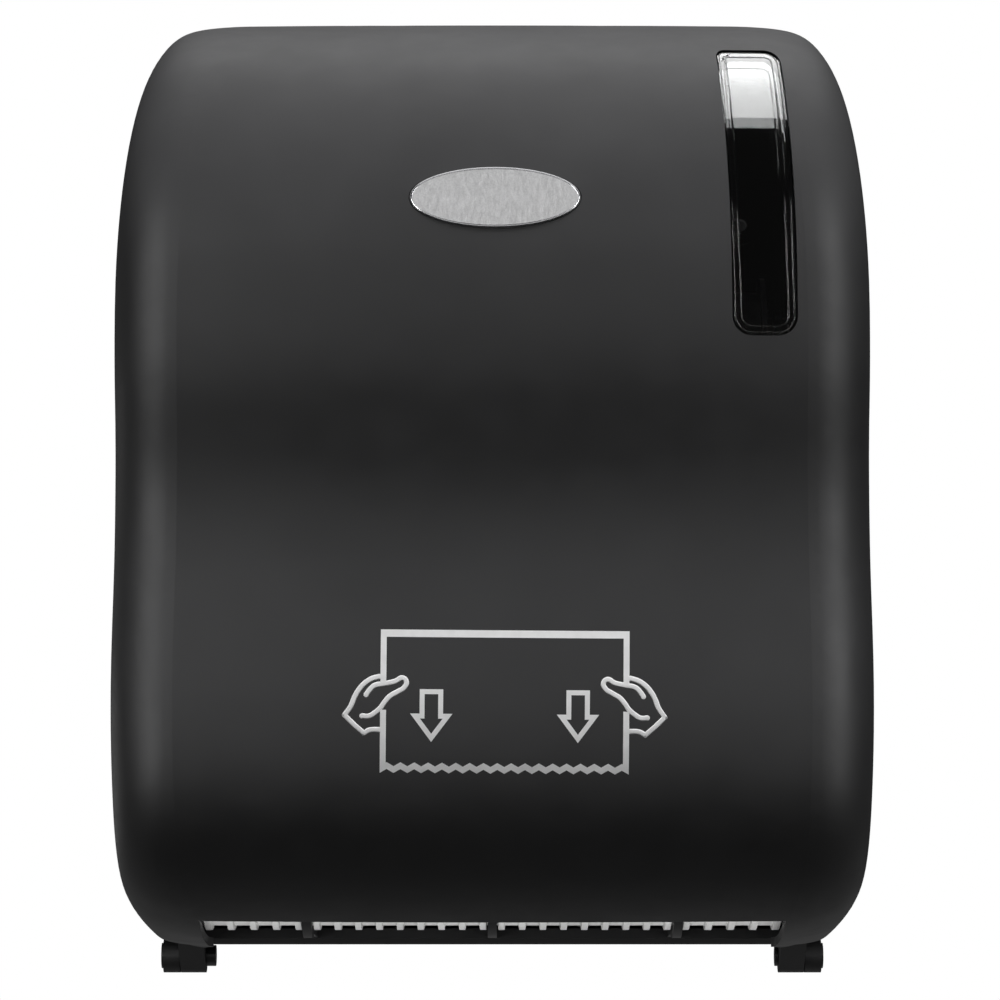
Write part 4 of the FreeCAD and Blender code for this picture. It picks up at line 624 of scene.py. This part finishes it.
def turned_on(bm, edges, ratio, height):
    """Carries a round loop of edges on, drawn in by a ratio and set at a new height, and gives its edges."""
    ring, carried = carried_on(bm, edges)
    bmesh.ops.scale(bm, verts=ring, vec=(ratio, ratio, 1))
    for vertex in ring:
        vertex.co.z = height
    return carried


def crossed_screw(top, facing, head_radius, head_height, shank_radius, length):
    """Screw with a domed and crossed head, as a mesh in its place."""
    bm = bmesh.new()
    rim = recessed_head(bm, head_radius, head_height)
    loop = turned_on(bm, rim, 1, -head_height)
    loop = turned_on(bm, loop, shank_radius / head_radius, -head_height)
    loop = turned_on(bm, loop, 1, shank_radius - length)
    loop = turned_on(bm, loop, TIP_SHARE, -length)
    bmesh.ops.contextual_create(bm, geom=loop)
    bmesh.ops.recalc_face_normals(bm, faces=bm.faces[:])
    turn = facing.to_track_quat("Z", "Y").to_matrix().to_4x4()
    bmesh.ops.transform(bm, matrix=Matrix.Translation(top) @ turn, verts=bm.verts)
    return mesh_of(bm, "crossed_screw")


def cross_screws():
    """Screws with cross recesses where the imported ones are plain."""
    for node, (body, axis) in CROSSED_SCREWS.items():
        bm = bmesh.new()
        for corners in separate_bodies(node):
            bm.from_mesh(crossed_screw(*screw_sizes(corners, axis)))
        made = piece_from(bm, node + "_crossed", body, FINISHES["zinc_steel"])
        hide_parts(node)


# Light, floor and camera

def softbox(name, place, target, width, height, power, seen_by=("diffuse", "glossy", "transmission"),
            only=(), without=()):
    """Area lamp turned to a target, for some kinds of ray; it can light only some nodes or spare some."""
    lamp = bpy.data.lights.new(name, "AREA")
    lamp.shape = "RECTANGLE"
    lamp.size = width
    lamp.size_y = height
    lamp.energy = power
    holder = in_scene(name, lamp)
    holder.location = place
    holder.rotation_euler = (Vector(target) - Vector(place)).to_track_quat("-Z", "Y").to_euler()
    holder.visible_camera = False
    holder.visible_diffuse = "diffuse" in seen_by
    holder.visible_glossy = "glossy" in seen_by
    holder.visible_transmission = "transmission" in seen_by
    if only or without:
        receivers = bpy.data.collections.new(name + "_receivers")
        for node in only or without:
            receivers.objects.link(frame["nodes"][node])
        for entry in receivers.collection_objects:
            entry.light_linking.link_state = "INCLUDE" if only else "EXCLUDE"
        holder.light_linking.receiver_collection = receivers


def studio_lights():
    """Key light from above, cards and strips for the cover to mirror, own lamps for window and drum."""
    softbox("key", (0.2, -0.85, 1.95), (0, -0.1, 0), 1.1, 1.1, 70, seen_by=("diffuse",))
    softbox("overhead", (0.15, 0.55, 1.35), (0.15, 0.56, 0), 1.6, 1.75, 11.5)
    softbox("front_card", (0, -2.6, 0.45), (0, 0, 0), 2.6, 1.0, 10, seen_by=("glossy",), without=("window",))
    softbox("left_strip", (-1.22, -1.15, -0.15), (0, -0.1, -0.15), 0.6, 1.9, 29, seen_by=("glossy",))
    softbox("right_strip", (1.35, -1.05, 0), (0, -0.1, 0), 0.5, 2.2, 28, seen_by=("glossy",))
    softbox("left_back_card", (-1.5, 1.0, -0.33), (0, 0, -0.33), 1.2, 0.4, 1.8, seen_by=("glossy",))
    softbox("low_card", (0, 0.5, -0.53), (0, 0.51, 0), 2.4, 1.3, 2, seen_by=("glossy",))
    softbox("window_card", (0, 0.55, 1.30), (0, 0.56, 0), 2.4, 1.75, 62,
            seen_by=("glossy", "transmission"), only=("window",))
    softbox("drum_light", (0, -0.75, -0.5), (0, -0.15, -0.15), 0.8, 0.3, 8,
            only=("drum_shell_front", "drum_shell_rear"))


def background(tree, tone):
    return add_node(tree, "ShaderNodeBackground", {"Color": grey(1), "Strength": tone}).outputs[0]


def studio_world():
    """White behind the part, a dim room for what the part mirrors and for its shade."""
    world = bpy.data.worlds.new("studio")
    bpy.context.scene.world = world
    world.use_nodes = True
    tree = world.node_tree
    tree.nodes.clear()
    out = add_node(tree, "ShaderNodeOutputWorld")
    path = add_node(tree, "ShaderNodeLightPath")
    shown = background(tree, ROOM_TONE)
    for ray, tone in (("Is Glossy Ray", MIRRORED_TONE), ("Is Transmission Ray", WALL_TONE),
                      ("Is Camera Ray", PAGE_TONE)):
        mix = add_node(tree, "ShaderNodeMixShader")
        tree.links.new(path.outputs[ray], mix.inputs[0])
        tree.links.new(shown, mix.inputs[1])
        tree.links.new(background(tree, tone), mix.inputs[2])
        shown = mix.outputs[0]
    tree.links.new(shown, out.inputs["Surface"])


def pale_floor():
    """Wide pale floor well below the part, which hangs on a wall."""
    bm = bmesh.new()
    bmesh.ops.create_circle(bm, cap_ends=True, segments=96, radius=FLOOR_RADIUS)
    bmesh.ops.translate(bm, verts=bm.verts, vec=FLOOR_CENTRE)
    floor = in_scene("floor", mesh_of(bm, "floor"))
    material, tree, shader = finish("floor_paint")
    shader.inputs["Roughness"].default_value = 0.9
    shader.inputs["Specular IOR Level"].default_value = 0.0
    path = add_node(tree, "ShaderNodeLightPath")
    tone = add_node(tree, "ShaderNodeMix", data_type="RGBA")
    tree.links.new(path.outputs["Is Camera Ray"], tone.inputs["Factor"])
    tone.inputs["A"].default_value = grey(FLOOR_SHADE)
    tone.inputs["B"].default_value = grey(FLOOR_TONE)
    tree.links.new(tone.outputs["Result"], shader.inputs["Base Color"])
    floor.data.materials.append(material)


def front_camera():
    """Camera at the photo's place."""
    lens = bpy.data.cameras.new("front")
    lens.sensor_width = CAMERA_SENSOR
    lens.lens = CAMERA_LENS
    lens.shift_x = CAMERA_SHIFT
    holder = in_scene("front", lens)
    holder.location = (0, -CAMERA_DISTANCE, 0)
    holder.rotation_euler = (math.pi / 2, 0, 0)
    bpy.context.scene.camera = holder


dress_nodes()
towel_sign()
badge_edge()
window_beads()
cross_screws()
studio_lights()
studio_world()
pale_floor()
front_camera()
bpy.context.scene.view_settings.view_transform = "Standard"
